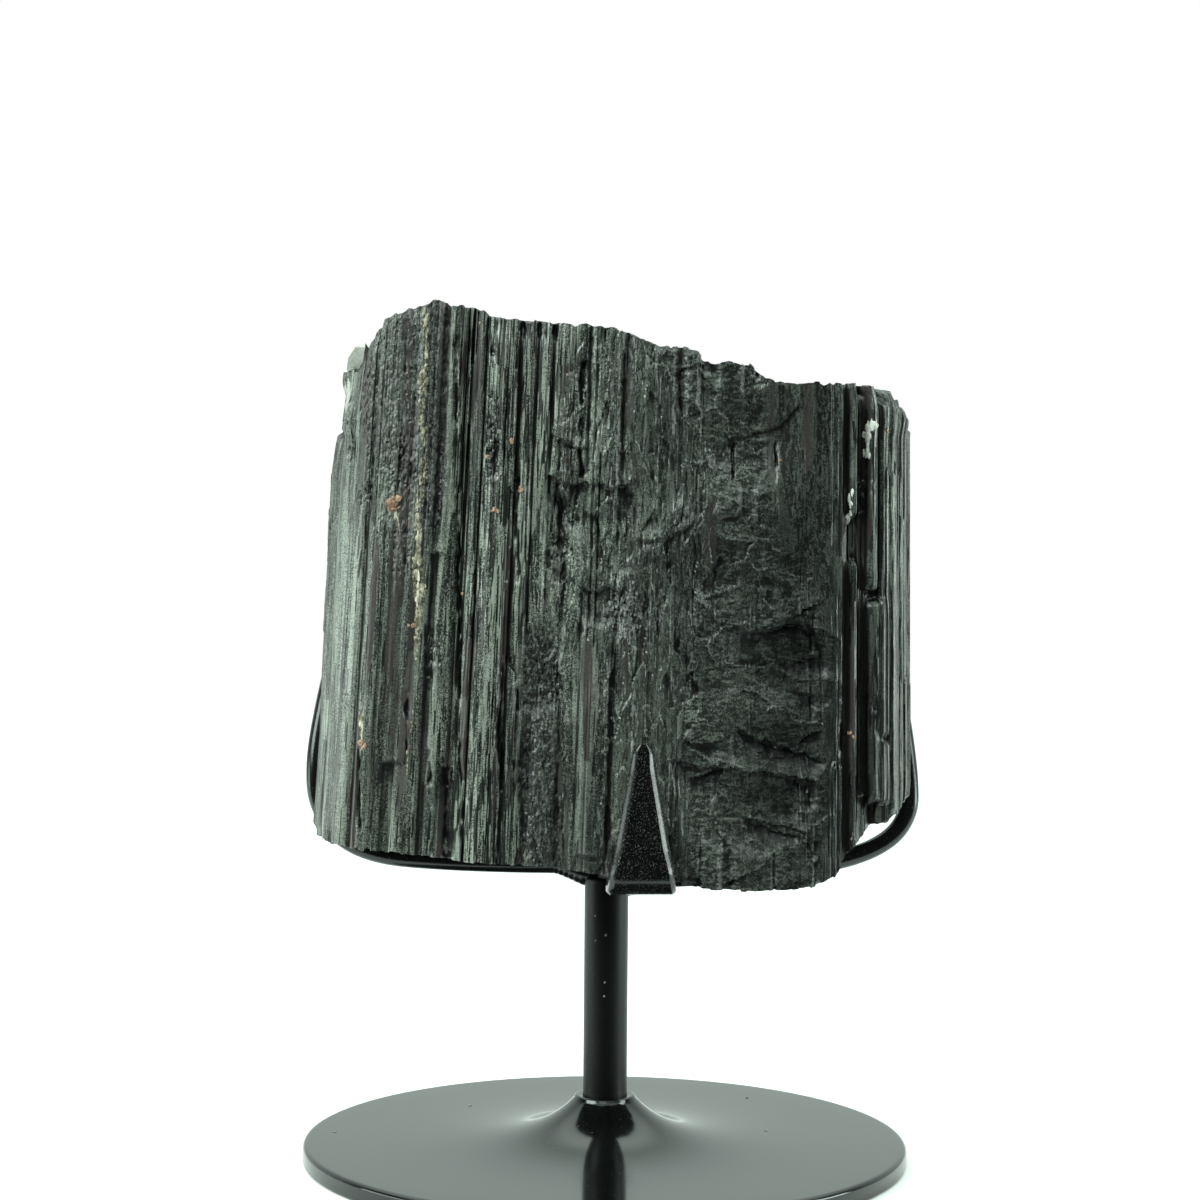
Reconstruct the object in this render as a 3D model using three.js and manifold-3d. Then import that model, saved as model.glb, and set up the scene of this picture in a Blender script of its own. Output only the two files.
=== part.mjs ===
import * as THREE from 'three';
import { mergeVertices } from 'three/addons/utils/BufferGeometryUtils.js';
import Module from 'manifold-3d';

// A slab of black striated crystal in a wire cradle on a disc foot.
// Millimetres, +Z up, the front faces -Y, and the origin is under the middle of the foot.

// Foot and stem
const BASE_DIAMETER = 110;
const BASE_THICKNESS = 3.3;
const BASE_EDGE = 0.5;
const BASE_SIDES = 60;
const COLLAR_DIAMETER = 11.2;
const COLLAR_TOP = 11.6;
const COLLAR_EDGE = 0.4;
const FLARE_REACH = 7;
const STEM_DIAMETER = 8;
const STEM_FIT = 0.3;
const STEM_SEAT = 3.5;
const STEM_TOP = 51.7;
const WELD_BULGE = 0.6;

// Cradle
const ROD_DIAMETER = 3.5;
const STRAP_THICKNESS = 1.8;
const STRAP_WIDTH_AT_STEM = 9;
const HOOK_WIDTH = 12.4;
const HOOK_TIP_WIDTH = 3.1;
const HOOK_TOP = 78.3;
const HOOK_BEND_RADIUS = 4.5;
const HOOK_REACH = 27;
const HOOK_YAW_DEG = 3;
const HOOK_SHIFT = 4.8;
const HOOK_LEAN_DEG = 3.5;

// Crystal
const CORE_INSET = 2.2;
const CORE_END_INSET = 2.5;
const COLUMN_ROOT = 5;
const LEAN_CENTRE_HEIGHT = 106;
const LEAN_LEFT_DEG = 3.8;
const LEAN_RIGHT_DEG = -0.8;
const PLAN_STEPS = 720;
const CORE_SIDES = 60;
const STUB_COUNT = 16;
const SEED = 41;

// The bent arms, as points on the rod's centre line from the stem outwards.
const LEFT_ARM = [
  [-2.2, 1.6, 53.8],
  [-14, 2.4, 53.5],
  [-30, 4, 53.7],
  [-41.5, 5.6, 54.6],
  [-48.8, 7, 57.6],
  [-53, 8, 63.4],
  [-53.9, 9, 70.5],
  [-52.8, 11.5, 80],
  [-50.2, 14.5, 91],
  [-45.5, 17.2, 99.5],
  [-38, 18.4, 104],
];
const RIGHT_ARM = [
  [5, 2.4, 51],
  [15, 2.8, 51.2],
  [30, 4, 52.3],
  [43.5, 5.6, 54.4],
  [51.4, 7, 57.6],
  [55.2, 8, 62.2],
  [55.8, 9, 68],
  [54.6, 11.5, 79],
  [52.4, 14.5, 90],
  [48, 17, 99],
  [41, 18.4, 104],
];

// Outline of the crystal seen from above, anticlockwise from the front left corner.
const PLAN = [
  [-45, -18.5],
  [-30, -21],
  [-12, -22],
  [8, -22],
  [26, -21],
  [40, -19.5],
  [49.6, -15.5],
  [54.3, -6],
  [50.6, 5],
  [37, 15],
  [10, 21],
  [-24, 18],
  [-44, 8.5],
  [-50.5, -6],
];

// Height of the broken top and of the broken underside, from left to right.
const TOP_LINE = [
  [-54, 128],
  [-48, 136],
  [-46, 146.5],
  [-41.5, 152],
  [-32, 155],
  [-20, 152],
  [2, 150],
  [8, 147.6],
  [15, 146.6],
  [17, 144.4],
  [26, 142],
  [46, 141.3],
  [51, 139],
  [55, 134],
];
const FOOT_LINE = [
  [-54, 62],
  [-46, 60],
  [-41, 58],
  [-30, 57],
  [-8, 56.4],
  [6, 54.6],
  [15, 53.9],
  [30, 55.6],
  [44, 58.6],
  [51, 63],
  [54, 66],
];

// Columns of the front face: middle, width, how far they stand proud, foot and top.
const FRONT_COLUMNS = [
  [-48.2, 3.0, 0.1, 58.8, 137],
  [-44.9, 3.6, 0.5, 59, 147.6],
  [-40.2, 4.4, 1.0, 58.6, 152.8],
  [-36.8, 2.2, 0.2, 75, 154.2],
  [-33.4, 4.0, 1.0, 58, 155],
  [-28.4, 3.4, 0.6, 57.3, 154.6],
  [-24.2, 1.6, 0.3, 57.2, 153.6],
  [-22.6, 1.2, 1.2, 57, 153],
  [-19.8, 4.4, 1.6, 56.6, 152.2],
  [-15.4, 2.2, 1.1, 56.4, 151.8],
  [-12.6, 2.2, 0.4, 98, 151.4],
  [-9.2, 3.4, 1.2, 121, 150.6],
  [-10.2, 4.6, 0.6, 56.2, 84],
  [-6.2, 2.4, 0.6, 126, 151],
  [-6.4, 2.6, 0.2, 88, 116],
  [-1.8, 4.8, 1.0, 58, 99],
  [-1.6, 5.4, 0.5, 118, 150.4],
  [3.4, 3.2, 0.7, 60, 108],
  [4.2, 4.2, 0.2, 122, 149.2],
  [9.6, 10, -0.7, 56, 147.4],
  [8.8, 4.2, 0.4, 112, 147],
  [14.6, 4.4, 0.2, 54.4, 120],
  [13.6, 3.4, 0.7, 126, 146.4],
  [20.4, 10, -0.7, 54, 143.4],
  [18.8, 3.6, 0.5, 53, 78],
  [20.4, 5, 0.4, 118, 144.2],
  [25.8, 7.4, 0.7, 52.6, 69],
  [30.4, 11, -0.6, 54, 141.2],
  [27.4, 5, 0.2, 106, 141.8],
  [32.8, 7.6, 0.5, 52.4, 66],
  [34.4, 5, 0.4, 101, 141.2],
  [39, 6.4, 0.2, 54, 141.2],
  [42.8, 1.4, 1.2, 118, 141.4],
  [42.6, 1.8, 0.4, 56, 110],
  [46.4, 1.8, 1.4, 105, 141],
  [47.2, 3.2, 1.1, 67.5, 103],
  [49.9, 2, 0.9, 66, 140],
  [51.6, 1.6, 0.6, 64, 137.4],
];

// Shallow shell-shaped breaks across the grain: middle, half width, half height and depth.
const FRACTURES = [
  [30, 91, 10, 6.5, 1.4],
  [31, 78, 9.5, 6, 1.3],
  [27, 66, 8, 5.5, 1.0],
  [17, 72, 6, 9, 1.2],
  [18, 90, 6, 7, 0.9],
  [10, 104, 7.5, 7, 1.1],
  [22, 107, 7, 7, 0.9],
  [33, 108, 6.5, 8, 0.8],
  [26, 131, 9, 7, 1.3],
  [14, 124, 6, 6, 0.9],
  [4, 116, 5.5, 4.5, 1.0],
  [-8, 93, 4, 8, 1.1],
];
const FRACTURE_CURVE = 16;

// The pale lump of another mineral at the upper left edge: middle and half sizes.
const PALE_CHIP = [-44.4, -7, 141.6, 2.8, 4, 4.2];

const wasm = await Module();
wasm.setup();

// The same numbers on every run, so the hidden sides always break the same way.
function makeRandom(seed) {
  let state = seed;
  return (low, high) => {
    state = (state * 1664525 + 1013904223) % 4294967296;
    return low + (high - low) * (state / 4294967296);
  };
}

const random = makeRandom(SEED);

function along(line, x) {
  for (let i = 1; i < line.length; i += 1) {
    const [x0, y0] = line[i - 1];
    const [x1, y1] = line[i];
    if (x <= x1) {
      return y0 + (y1 - y0) * THREE.MathUtils.clamp((x - x0) / (x1 - x0), 0, 1);
    }
  }
  return line[line.length - 1][1];
}

function toSolid(geometry) {
  const bare = geometry.clone();
  bare.deleteAttribute('normal');
  bare.deleteAttribute('uv');
  const welded = mergeVertices(bare, 1e-4);
  const mesh = new wasm.Mesh({
    numProp: 3,
    vertProperties: new Float32Array(welded.attributes.position.array),
    triVerts: new Uint32Array(welded.index.array),
  });
  return new wasm.Manifold(mesh);
}

function toGeometry(solid) {
  const mesh = solid.getMesh();
  const geometry = new THREE.BufferGeometry();
  geometry.setAttribute('position', new THREE.BufferAttribute(mesh.vertProperties, 3));
  geometry.setIndex(new THREE.BufferAttribute(mesh.triVerts, 1));
  geometry.computeVertexNormals();
  return geometry;
}

function prism(points, height) {
  const shape = new THREE.Shape(points.map(([x, y]) => new THREE.Vector2(x, y)));
  return new THREE.ExtrudeGeometry(shape, { depth: height, bevelEnabled: false });
}

function turned(profile, segments) {
  const points = profile.map(([radius, height]) => new THREE.Vector2(radius, height));
  return new THREE.LatheGeometry(points, segments).rotateX(Math.PI / 2);
}

// Disc foot: a flat rim that sweeps up to the collar, with a blind socket for the stem.
function makeBase() {
  const rim = BASE_DIAMETER / 2;
  const collar = COLLAR_DIAMETER / 2;
  const socket = STEM_DIAMETER / 2 + STEM_FIT;
  const profile = [
    [0, 0],
    [rim - BASE_EDGE, 0],
    [rim, BASE_EDGE],
    [rim, BASE_THICKNESS - BASE_EDGE],
    [rim - BASE_EDGE, BASE_THICKNESS],
  ];
  for (const reach of [28, 15, 9, 5.4, 3, 1.4]) {
    const rise = (COLLAR_TOP - COLLAR_EDGE - BASE_THICKNESS) * Math.exp(-reach / FLARE_REACH);
    profile.push([collar + reach, BASE_THICKNESS + rise]);
  }
  profile.push([collar, COLLAR_TOP - COLLAR_EDGE], [collar - COLLAR_EDGE, COLLAR_TOP]);
  profile.push([socket, COLLAR_TOP], [socket, STEM_SEAT], [0, STEM_SEAT]);
  return turned(profile, BASE_SIDES);
}

// Round stem with a small weld bulge under its top.
function makeStem() {
  const radius = STEM_DIAMETER / 2;
  return turned([
    [0, STEM_SEAT],
    [radius, STEM_SEAT],
    [radius, STEM_TOP - 2.6],
    [radius + WELD_BULGE * 0.7, STEM_TOP - 1.8],
    [radius + WELD_BULGE, STEM_TOP - 1.1],
    [radius + WELD_BULGE * 0.6, STEM_TOP - 0.3],
    [radius, STEM_TOP],
    [0, STEM_TOP],
  ], 32);
}

// Round rod bent along a smooth line.
function makeArm(line) {
  const path = new THREE.CatmullRomCurve3(line.map((p) => new THREE.Vector3(...p)));
  const section = new THREE.Shape();
  section.absarc(0, 0, ROD_DIAMETER / 2, 0, Math.PI * 2);
  return new THREE.ExtrudeGeometry(section, { steps: 32, curveSegments: 6, extrudePath: path });
}

// Strap seen from the side: it runs forward, bends up and leans back against the crystal.
function strapSide() {
  const outer = HOOK_BEND_RADIUS;
  const inner = HOOK_BEND_RADIUS - STRAP_THICKNESS;
  const lean = THREE.MathUtils.degToRad(HOOK_LEAN_DEG);
  const centre = new THREE.Vector2(HOOK_REACH - outer, STEM_TOP + outer);
  const drift = (HOOK_TOP - centre.y) * Math.tan(lean);
  const shape = new THREE.Shape();
  shape.moveTo(0, STEM_TOP);
  shape.lineTo(centre.x, STEM_TOP);
  shape.absarc(centre.x, centre.y, outer, -Math.PI / 2, lean, false);
  shape.lineTo(centre.x + outer - drift, HOOK_TOP);
  shape.lineTo(centre.x + inner - drift, HOOK_TOP);
  shape.absarc(centre.x, centre.y, inner, lean, -Math.PI / 2, true);
  shape.lineTo(0, STEM_TOP + STRAP_THICKNESS);
  return shape;
}

// Tapered hook: the bent strap, cut to its widths by its outline from the front and from above.
function makeHook() {
  const wide = HOOK_WIDTH * 1.2;
  const bent = new THREE.ExtrudeGeometry(strapSide(), {
    depth: wide,
    bevelEnabled: false,
    curveSegments: 10,
  });
  bent.translate(0, 0, -wide / 2);
  bent.applyMatrix4(new THREE.Matrix4().makeBasis(
    new THREE.Vector3(0, -1, 0),
    new THREE.Vector3(0, 0, 1),
    new THREE.Vector3(-1, 0, 0),
  ));
  const fold = STEM_TOP + HOOK_BEND_RADIUS;
  const tip = HOOK_TIP_WIDTH / 2;
  const half = HOOK_WIDTH / 2;
  const front = prism([
    [-half, STEM_TOP - 1],
    [half, STEM_TOP - 1],
    [half - 0.6, fold],
    [tip + 0.3, HOOK_TOP - 1.2],
    [tip - 0.5, HOOK_TOP],
    [-tip + 0.5, HOOK_TOP],
    [-tip - 0.3, HOOK_TOP - 1.2],
    [-half + 0.6, fold],
  ], HOOK_REACH + 10);
  front.rotateX(Math.PI / 2);
  front.translate(0, 5, 0);
  const root = STRAP_WIDTH_AT_STEM / 2;
  const above = prism([
    [-root, 1],
    [-half, -HOOK_REACH - 2],
    [half, -HOOK_REACH - 2],
    [root, 1],
  ], HOOK_TOP);
  above.translate(0, 0, STEM_TOP - 5);
  const hook = toSolid(bent).intersect(toSolid(front)).intersect(toSolid(above));
  const geometry = toGeometry(hook);
  geometry.rotateZ(THREE.MathUtils.degToRad(HOOK_YAW_DEG));
  geometry.translate(HOOK_SHIFT, 0, 0);
  return geometry;
}

const planCurve = new THREE.CatmullRomCurve3(
  PLAN.map(([x, y]) => new THREE.Vector3(x, y, 0)),
  true,
);

// Place on the outline: the point and the way the face looks there.
function onPlan(fraction) {
  const point = planCurve.getPointAt(fraction);
  const tangent = planCurve.getTangentAt(fraction);
  return { point, outward: new THREE.Vector3(tangent.y, -tangent.x, 0) };
}

const planPlaces = Array.from({ length: PLAN_STEPS }, (_, i) => onPlan(i / PLAN_STEPS));

function frontPlace(x) {
  const front = planPlaces.filter((place) => place.outward.y < -0.3);
  return front.reduce((best, place) => (
    Math.abs(place.point.x - x) < Math.abs(best.point.x - x) ? place : best
  ));
}

// The grain fans out downwards: it leans more on the left than on the right.
function leaned(geometry) {
  const position = geometry.attributes.position;
  for (let i = 0; i < position.count; i += 1) {
    const x = position.getX(i);
    const across = THREE.MathUtils.clamp((x + 50) / 100, 0, 1);
    const lean = THREE.MathUtils.lerp(LEAN_LEFT_DEG, LEAN_RIGHT_DEG, across);
    const above = position.getZ(i) - LEAN_CENTRE_HEIGHT;
    position.setX(i, x + above * Math.tan(THREE.MathUtils.degToRad(lean)));
  }
  return geometry;
}

// The ends of a column are broken off at a slant.
function slantEnds(geometry, height, topSlope, footSlope) {
  const position = geometry.attributes.position;
  for (let i = 0; i < position.count; i += 1) {
    const slope = position.getZ(i) > height / 2 ? topSlope : footSlope;
    position.setZ(i, position.getZ(i) + slope * position.getX(i));
  }
  return geometry;
}

// One column of the crystal, rooted in the core and standing a little proud of its outline.
function column(place, width, proud, foot, top) {
  const half = width / 2;
  const edge = Math.min(0.7, width / 4);
  const height = top - foot;
  const rod = prism([
    [-half, -COLUMN_ROOT],
    [half, -COLUMN_ROOT],
    [half, proud - edge * random(0.8, 1.6)],
    [half - edge * random(0.8, 1.6), proud],
    [-half + edge * random(0.8, 1.6), proud],
    [-half, proud - edge * random(0.8, 1.6)],
  ], height);
  slantEnds(rod, height, random(-0.25, 0.25), random(-0.25, 0.25));
  const { point, outward } = place;
  const sideways = new THREE.Vector3(outward.y, -outward.x, 0);
  rod.applyMatrix4(new THREE.Matrix4().makeBasis(sideways, outward, new THREE.Vector3(0, 0, 1)));
  rod.translate(point.x, point.y, foot);
  return toSolid(leaned(rod));
}

// The core: the outline from above, cut to the outline from the front.
function makeCore() {
  const places = planPlaces.filter((_, i) => i % (PLAN_STEPS / CORE_SIDES) === 0);
  const block = prism(places.map(({ point, outward }) => [
    point.x - outward.x * CORE_INSET,
    point.y - outward.y * CORE_INSET,
  ]), 120);
  block.translate(0, 0, STEM_TOP - 5);
  const tops = TOP_LINE.map(([x, z]) => [x, z - CORE_END_INSET]);
  const face = prism([...FOOT_LINE, ...tops.reverse()], 80);
  face.rotateX(Math.PI / 2);
  face.translate(0, 40, 0);
  return toSolid(leaned(block)).intersect(toSolid(face));
}

// Faceted ball drawn out to the given half sizes, turned so that no two show the same facets.
function lump([x, y, z, ...halfSizes], detail) {
  const ball = new THREE.IcosahedronGeometry(1, detail);
  ball.rotateZ(x);
  ball.scale(...halfSizes);
  ball.translate(x, y, z);
  return toSolid(ball);
}

// The shallow dish that one break leaves in the front.
function breakOff([x, z, halfWidth, halfHeight, depth]) {
  const front = frontPlace(x).point.y + CORE_INSET / 3;
  const spread = Math.sqrt(1 - (1 - depth / FRACTURE_CURVE) ** 2);
  const y = front + depth - FRACTURE_CURVE;
  return lump([x, y, z, halfWidth / spread, FRACTURE_CURVE, halfHeight / spread], 3);
}

// Columns of the right side, the back and the left side, which the photo doesn't show.
function sideColumns() {
  const columns = [];
  const stepsPerMm = PLAN_STEPS / planCurve.getLength();
  let step = planPlaces.findIndex(({ point }) => point.x > 49.5);
  while (step < PLAN_STEPS - 8) {
    const place = planPlaces[step];
    const width = random(2.6, 6.4);
    const top = along(TOP_LINE, place.point.x) - random(0, 4);
    const foot = along(FOOT_LINE, place.point.x) + random(0.4, 3);
    columns.push(column(place, width, random(-0.6, 0.9), foot, top));
    step += Math.round((width + random(0, 0.8)) * stepsPerMm);
  }
  return columns;
}

// Broken ends of the inner columns, which make the top uneven.
function topStub() {
  const x = random(-40, 44);
  const y = random(-14, 12) * (1 - Math.abs(x) / 110);
  const radius = random(3.5, 7.5);
  const foot = along(FOOT_LINE, x) + 8;
  const height = along(TOP_LINE, x) - random(0.2, 3.2) - foot;
  const sides = Math.round(random(5, 7));
  const corners = Array.from({ length: sides }, (_, k) => {
    const turn = (k / sides) * Math.PI * 2;
    const reach = radius * random(0.75, 1.15);
    return [reach * Math.cos(turn), reach * Math.sin(turn)];
  });
  const stub = slantEnds(prism(corners, height), height, random(-0.2, 0.2), 0);
  stub.translate(x, y, foot);
  return toSolid(leaned(stub));
}

function makeCrystal() {
  let crystal = makeCore();
  for (const [x, ...sizes] of FRONT_COLUMNS) {
    crystal = crystal.add(column(frontPlace(x), ...sizes));
  }
  for (const fracture of FRACTURES) {
    crystal = crystal.subtract(breakOff(fracture));
  }
  crystal = crystal.add(lump(PALE_CHIP, 1));
  for (const side of sideColumns()) {
    crystal = crystal.add(side);
  }
  for (let i = 0; i < STUB_COUNT; i += 1) {
    crystal = crystal.add(topStub());
  }
  return toGeometry(crystal);
}

const blackPaint = { color: 0x0b0c0c, roughness: 0.22, metalness: 0 };
const darkCrystal = { color: 0x1b211f, roughness: 0.35, metalness: 0 };

function part(name, geometry, finish) {
  const mesh = new THREE.Mesh(geometry, new THREE.MeshStandardMaterial(finish));
  mesh.name = name;
  return mesh;
}

const group = new THREE.Group();
group.name = 'tourmaline_on_stand';
group.add(
  part('base', makeBase(), blackPaint),
  part('stem', makeStem(), blackPaint),
  part('left_arm', makeArm(LEFT_ARM), blackPaint),
  part('right_arm', makeArm(RIGHT_ARM), blackPaint),
  part('front_hook', makeHook(), blackPaint),
  part('crystal', makeCrystal(), darkCrystal),
);

export default group;
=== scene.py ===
# %% [markdown]
# # A black tourmaline on its stand
#
# The object is a broken slab of striated crystal that two bent arms and a front hook hold up on a
# round-footed black stand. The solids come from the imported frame, in metres. Here each of them gets
# the fine surface and the finish that the eye expects from a step away. Lengths in this lesson are
# written in millimetres and turned into metres when a mesh is made.

# %% Load the frame
import math

import bpy
import bmesh
import numpy as np
from mathutils import Matrix, Vector
from mathutils.bvhtree import BVHTree
from mathutils.geometry import delaunay_2d_cdt


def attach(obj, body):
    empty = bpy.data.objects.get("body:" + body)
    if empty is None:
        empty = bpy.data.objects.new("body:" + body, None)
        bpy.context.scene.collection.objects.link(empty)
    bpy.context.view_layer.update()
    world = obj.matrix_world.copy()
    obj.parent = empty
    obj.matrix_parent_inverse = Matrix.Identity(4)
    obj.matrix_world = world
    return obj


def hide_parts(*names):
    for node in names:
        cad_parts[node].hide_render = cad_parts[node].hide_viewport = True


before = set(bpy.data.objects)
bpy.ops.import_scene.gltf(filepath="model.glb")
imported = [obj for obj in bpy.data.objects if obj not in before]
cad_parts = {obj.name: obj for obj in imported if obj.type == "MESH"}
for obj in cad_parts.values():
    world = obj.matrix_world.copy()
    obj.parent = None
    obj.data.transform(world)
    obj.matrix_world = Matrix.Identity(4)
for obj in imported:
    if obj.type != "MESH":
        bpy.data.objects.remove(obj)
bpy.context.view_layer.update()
MM = 0.001

# %% [markdown]
# ## Writing shaders as sums
#
# A finish is a tree of nodes, and most of them only add, multiply or blend. Wiring these by hand hides
# the idea, so a small class wraps a socket and lets Python's own operators add the Math nodes. All
# other nodes come from one method that sets a node up and links its sockets.

# %% Wrap a socket so that sums on it make nodes


class Wire:
    """One value in a shader, which can be used in sums."""

    def __init__(self, sheet, socket):
        self.sheet = sheet
        self.socket = socket

    def math(self, operation, *terms):
        """A Math node on these terms."""
        return self.sheet.node("ShaderNodeMath", {"operation": operation}, dict(enumerate(terms)))

    def __add__(self, other):
        return self.math("ADD", self, other)

    def __sub__(self, other):
        return self.math("SUBTRACT", self, other)

    def __rsub__(self, other):
        return self.math("SUBTRACT", other, self)

    def __mul__(self, other):
        return self.math("MULTIPLY", self, other)

    __radd__ = __add__
    __rmul__ = __mul__

    def __abs__(self):
        return self.math("ABSOLUTE", self)

    def between(self, low, high):
        """0 below low, 1 above high and a soft step from one to the other."""
        settings = {"interpolation_type": "SMOOTHSTEP"}
        sockets = {"Value": self, "From Min": low, "From Max": high}
        return self.sheet.node("ShaderNodeMapRange", settings, sockets)


# %% Add nodes with one method


class Sheet:
    """The node tree of one finish."""

    def __init__(self, tree):
        self.tree = tree
        tree.nodes.clear()

    def node(self, kind, settings=None, sockets=None, output=0):
        """A node of this kind: its settings are made first, then its sockets get values or links."""
        made = self.tree.nodes.new(kind)
        for name, value in (settings or {}).items():
            setattr(made, name, value)
        for key, value in (sockets or {}).items():
            if isinstance(value, Wire):
                self.tree.links.new(value.socket, made.inputs[key])
            else:
                made.inputs[key].default_value = value
        return Wire(self, made.outputs[output]) if made.outputs else None

    def blend(self, mask, first, second):
        """The first colour where the mask is 0, and the second where it is 1."""
        return self.node("ShaderNodeMix", {"data_type": "RGBA"}, {0: mask, 6: first, 7: second}, output=2)

    def places(self, per_metre):
        """Where a point is on the object, counted in cells of which so many go to a metre."""
        at = self.node("ShaderNodeTexCoord", output="Object")
        return self.node("ShaderNodeVectorMath", {"operation": "MULTIPLY"}, {0: at, 1: (per_metre,) * 3})

    def noise(self, places, detail=3.0, roughness=0.55):
        """Soft random values from 0 to 1 that change about once in each cell."""
        sockets = {"Vector": places, "Scale": 1.0, "Detail": detail, "Roughness": roughness}
        return self.node("ShaderNodeTexNoise", sockets=sockets)

    def measure(self, name):
        """A number that the mesh carries at each of its points."""
        return self.node("ShaderNodeAttribute", {"attribute_name": name}, output="Fac")

    def bump(self, height, strength, depth, normal=None):
        """A normal tilted by fine relief that isn't in the mesh."""
        sockets = {"Height": height, "Strength": strength, "Distance": depth}
        if normal is not None:
            sockets["Normal"] = normal
        return self.node("ShaderNodeBump", sockets=sockets)


def new_finish(name):
    """An empty material and the sheet to draw it on."""
    material = bpy.data.materials.new(name)
    material.use_nodes = True
    return material, Sheet(material.node_tree)


def coat_with(sheet, sockets):
    """Ends a finish in one Principled shader with these sockets."""
    shader = sheet.node("ShaderNodeBsdfPrincipled", sockets=sockets)
    sheet.node("ShaderNodeOutputMaterial", sockets={"Surface": shader})


print("shader helpers ready")

# %% [markdown]
# ## Camera
#
# The photo was taken from a little over half a metre, almost level with the upper third of the crystal.
# The place, the pitch and the small roll were found by fitting a camera to the round rim of the foot:
# a circle of known size seen as an ellipse gives all of them at once.

# %% Place the camera
CAMERA_PLACE = Vector((-1.6, -539.6, 129.9)) * MM
CAMERA_PITCH_DEG = 2.96
CAMERA_ROLL_DEG = 0.45
LENS_MM, SENSOR_MM = 89.4, 36.0

camera_data = bpy.data.cameras.new("camera")
camera_data.lens = LENS_MM
camera_data.sensor_width = SENSOR_MM
camera_data.clip_start = 0.01
camera = bpy.data.objects.new("camera", camera_data)
bpy.context.collection.objects.link(camera)
level = Matrix.Rotation(math.radians(90 - CAMERA_PITCH_DEG), 4, "X")
roll = Matrix.Rotation(math.radians(CAMERA_ROLL_DEG), 4, "Z")
camera.matrix_world = Matrix.Translation(CAMERA_PLACE) @ level @ roll
bpy.context.scene.camera = camera
bpy.context.scene.view_settings.view_transform = "Standard"
print("camera at", [round(v / MM, 1) for v in camera.location], "mm, lens", LENS_MM)

# %% [markdown]
# ## Studio
#
# A black glossy thing shows its surroundings more than its own colour. So the studio is white behind
# and above the object, where the foot and the rods mirror it, and dim on the camera's side, which keeps
# the broken faces black. Two high softboxes rake the striated faces from the left and the right, a
# weak one fills the front, and two low strips draw the lines of light along the hook's ground edges.
# All lamps share a faint green cast, the colour that the grey reflections on the foot have.

# %% Floor
FLOOR_BACK, FLOOR_FRONT, FLOOR_HALF_WIDTH = 900.0, -75.0, 900.0
FLOOR_LEVEL = -0.05
FLOOR_CLOUDS_PER_METRE = 3.0


def add_object(name, points, faces, material):
    """A mesh object from points in millimetres."""
    mesh = bpy.data.meshes.new(name)
    mesh.from_pydata((np.asarray(points, float) * MM).tolist(), [], [tuple(face) for face in faces])
    mesh.materials.append(material)
    made = bpy.data.objects.new(name, mesh)
    bpy.context.collection.objects.link(made)
    return made


floor_finish, sheet = new_finish("pale_floor")
patches = sheet.noise(sheet.places(FLOOR_CLOUDS_PER_METRE))
coat_with(sheet, {
    "Base Color": sheet.blend(patches, (0.92, 0.92, 0.92, 1), (0.95, 0.95, 0.95, 1)),
    "Roughness": 0.8,
})
floor_ends = ((-1, FLOOR_FRONT), (1, FLOOR_FRONT), (1, FLOOR_BACK), (-1, FLOOR_BACK))
floor_corners = [(side * FLOOR_HALF_WIDTH, y, FLOOR_LEVEL) for side, y in floor_ends]
floor = add_object("floor", floor_corners, [(0, 1, 2, 3)], floor_finish)
print("floor of", 2 * FLOOR_HALF_WIDTH, "by", FLOOR_BACK - FLOOR_FRONT, "mm")

# %% World
BACKDROP = 1.0
CAMERA_SIDE = 0.06
CEILING = 1.5
GREEN_CAST = (0.86, 1.0, 0.93)

world = bpy.data.worlds.new("studio")
world.use_nodes = True
bpy.context.scene.world = world
sheet = Sheet(world.node_tree)
way = sheet.node("ShaderNodeTexCoord", output="Generated")
towards_back = sheet.node("ShaderNodeSeparateXYZ", sockets={0: way}, output="Y")
upwards = sheet.node("ShaderNodeSeparateXYZ", sockets={0: way}, output="Z")
strength = CAMERA_SIDE + (BACKDROP - CAMERA_SIDE) * towards_back.between(0.05, 0.65)
strength = strength + CEILING * upwards.between(0.55, 0.8)
seen = sheet.node("ShaderNodeLightPath", output="Is Camera Ray")
strength = strength + seen * (1.0 - strength)
cast = sheet.blend(seen, (*GREEN_CAST, 1), (1, 1, 1, 1))
backdrop = sheet.node("ShaderNodeBackground", sockets={"Color": cast, "Strength": strength})
sheet.node("ShaderNodeOutputWorld", sockets={"Surface": backdrop})
print("studio light: behind", BACKDROP, "on the camera's side", CAMERA_SIDE, "added overhead", CEILING)

# %% Softboxes
CRYSTAL_MIDDLE = (0.0, 0.0, 100.0)
HOOK_MIDDLE = (0.0, -30.0, 70.0)


def add_softbox(name, place, size, radiance, aim):
    """A rectangular lamp of an even brightness, turned to a point."""
    lamp = bpy.data.lights.new(name, "AREA")
    lamp.shape = "RECTANGLE"
    lamp.size, lamp.size_y = size[0] * MM, size[1] * MM
    lamp.energy = radiance * math.pi * lamp.size * lamp.size_y
    lamp.color = GREEN_CAST
    made = bpy.data.objects.new(name, lamp)
    made.location = Vector(place) * MM
    made.rotation_euler = (Vector(aim) - Vector(place)).to_track_quat("-Z", "Y").to_euler()
    bpy.context.collection.objects.link(made)


add_softbox("key_left", (-760, -420, 640), (600, 600), 11.0, CRYSTAL_MIDDLE)
add_softbox("fill_front", (-150, -900, 900), (500, 400), 1.5, CRYSTAL_MIDDLE)
add_softbox("rim_right", (780, -160, 520), (300, 600), 8.0, CRYSTAL_MIDDLE)
add_softbox("strip_left", (-520, -40, 80), (200, 120), 5.5, HOOK_MIDDLE)
add_softbox("strip_right", (520, -40, 80), (200, 120), 11.0, HOOK_MIDDLE)

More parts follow.
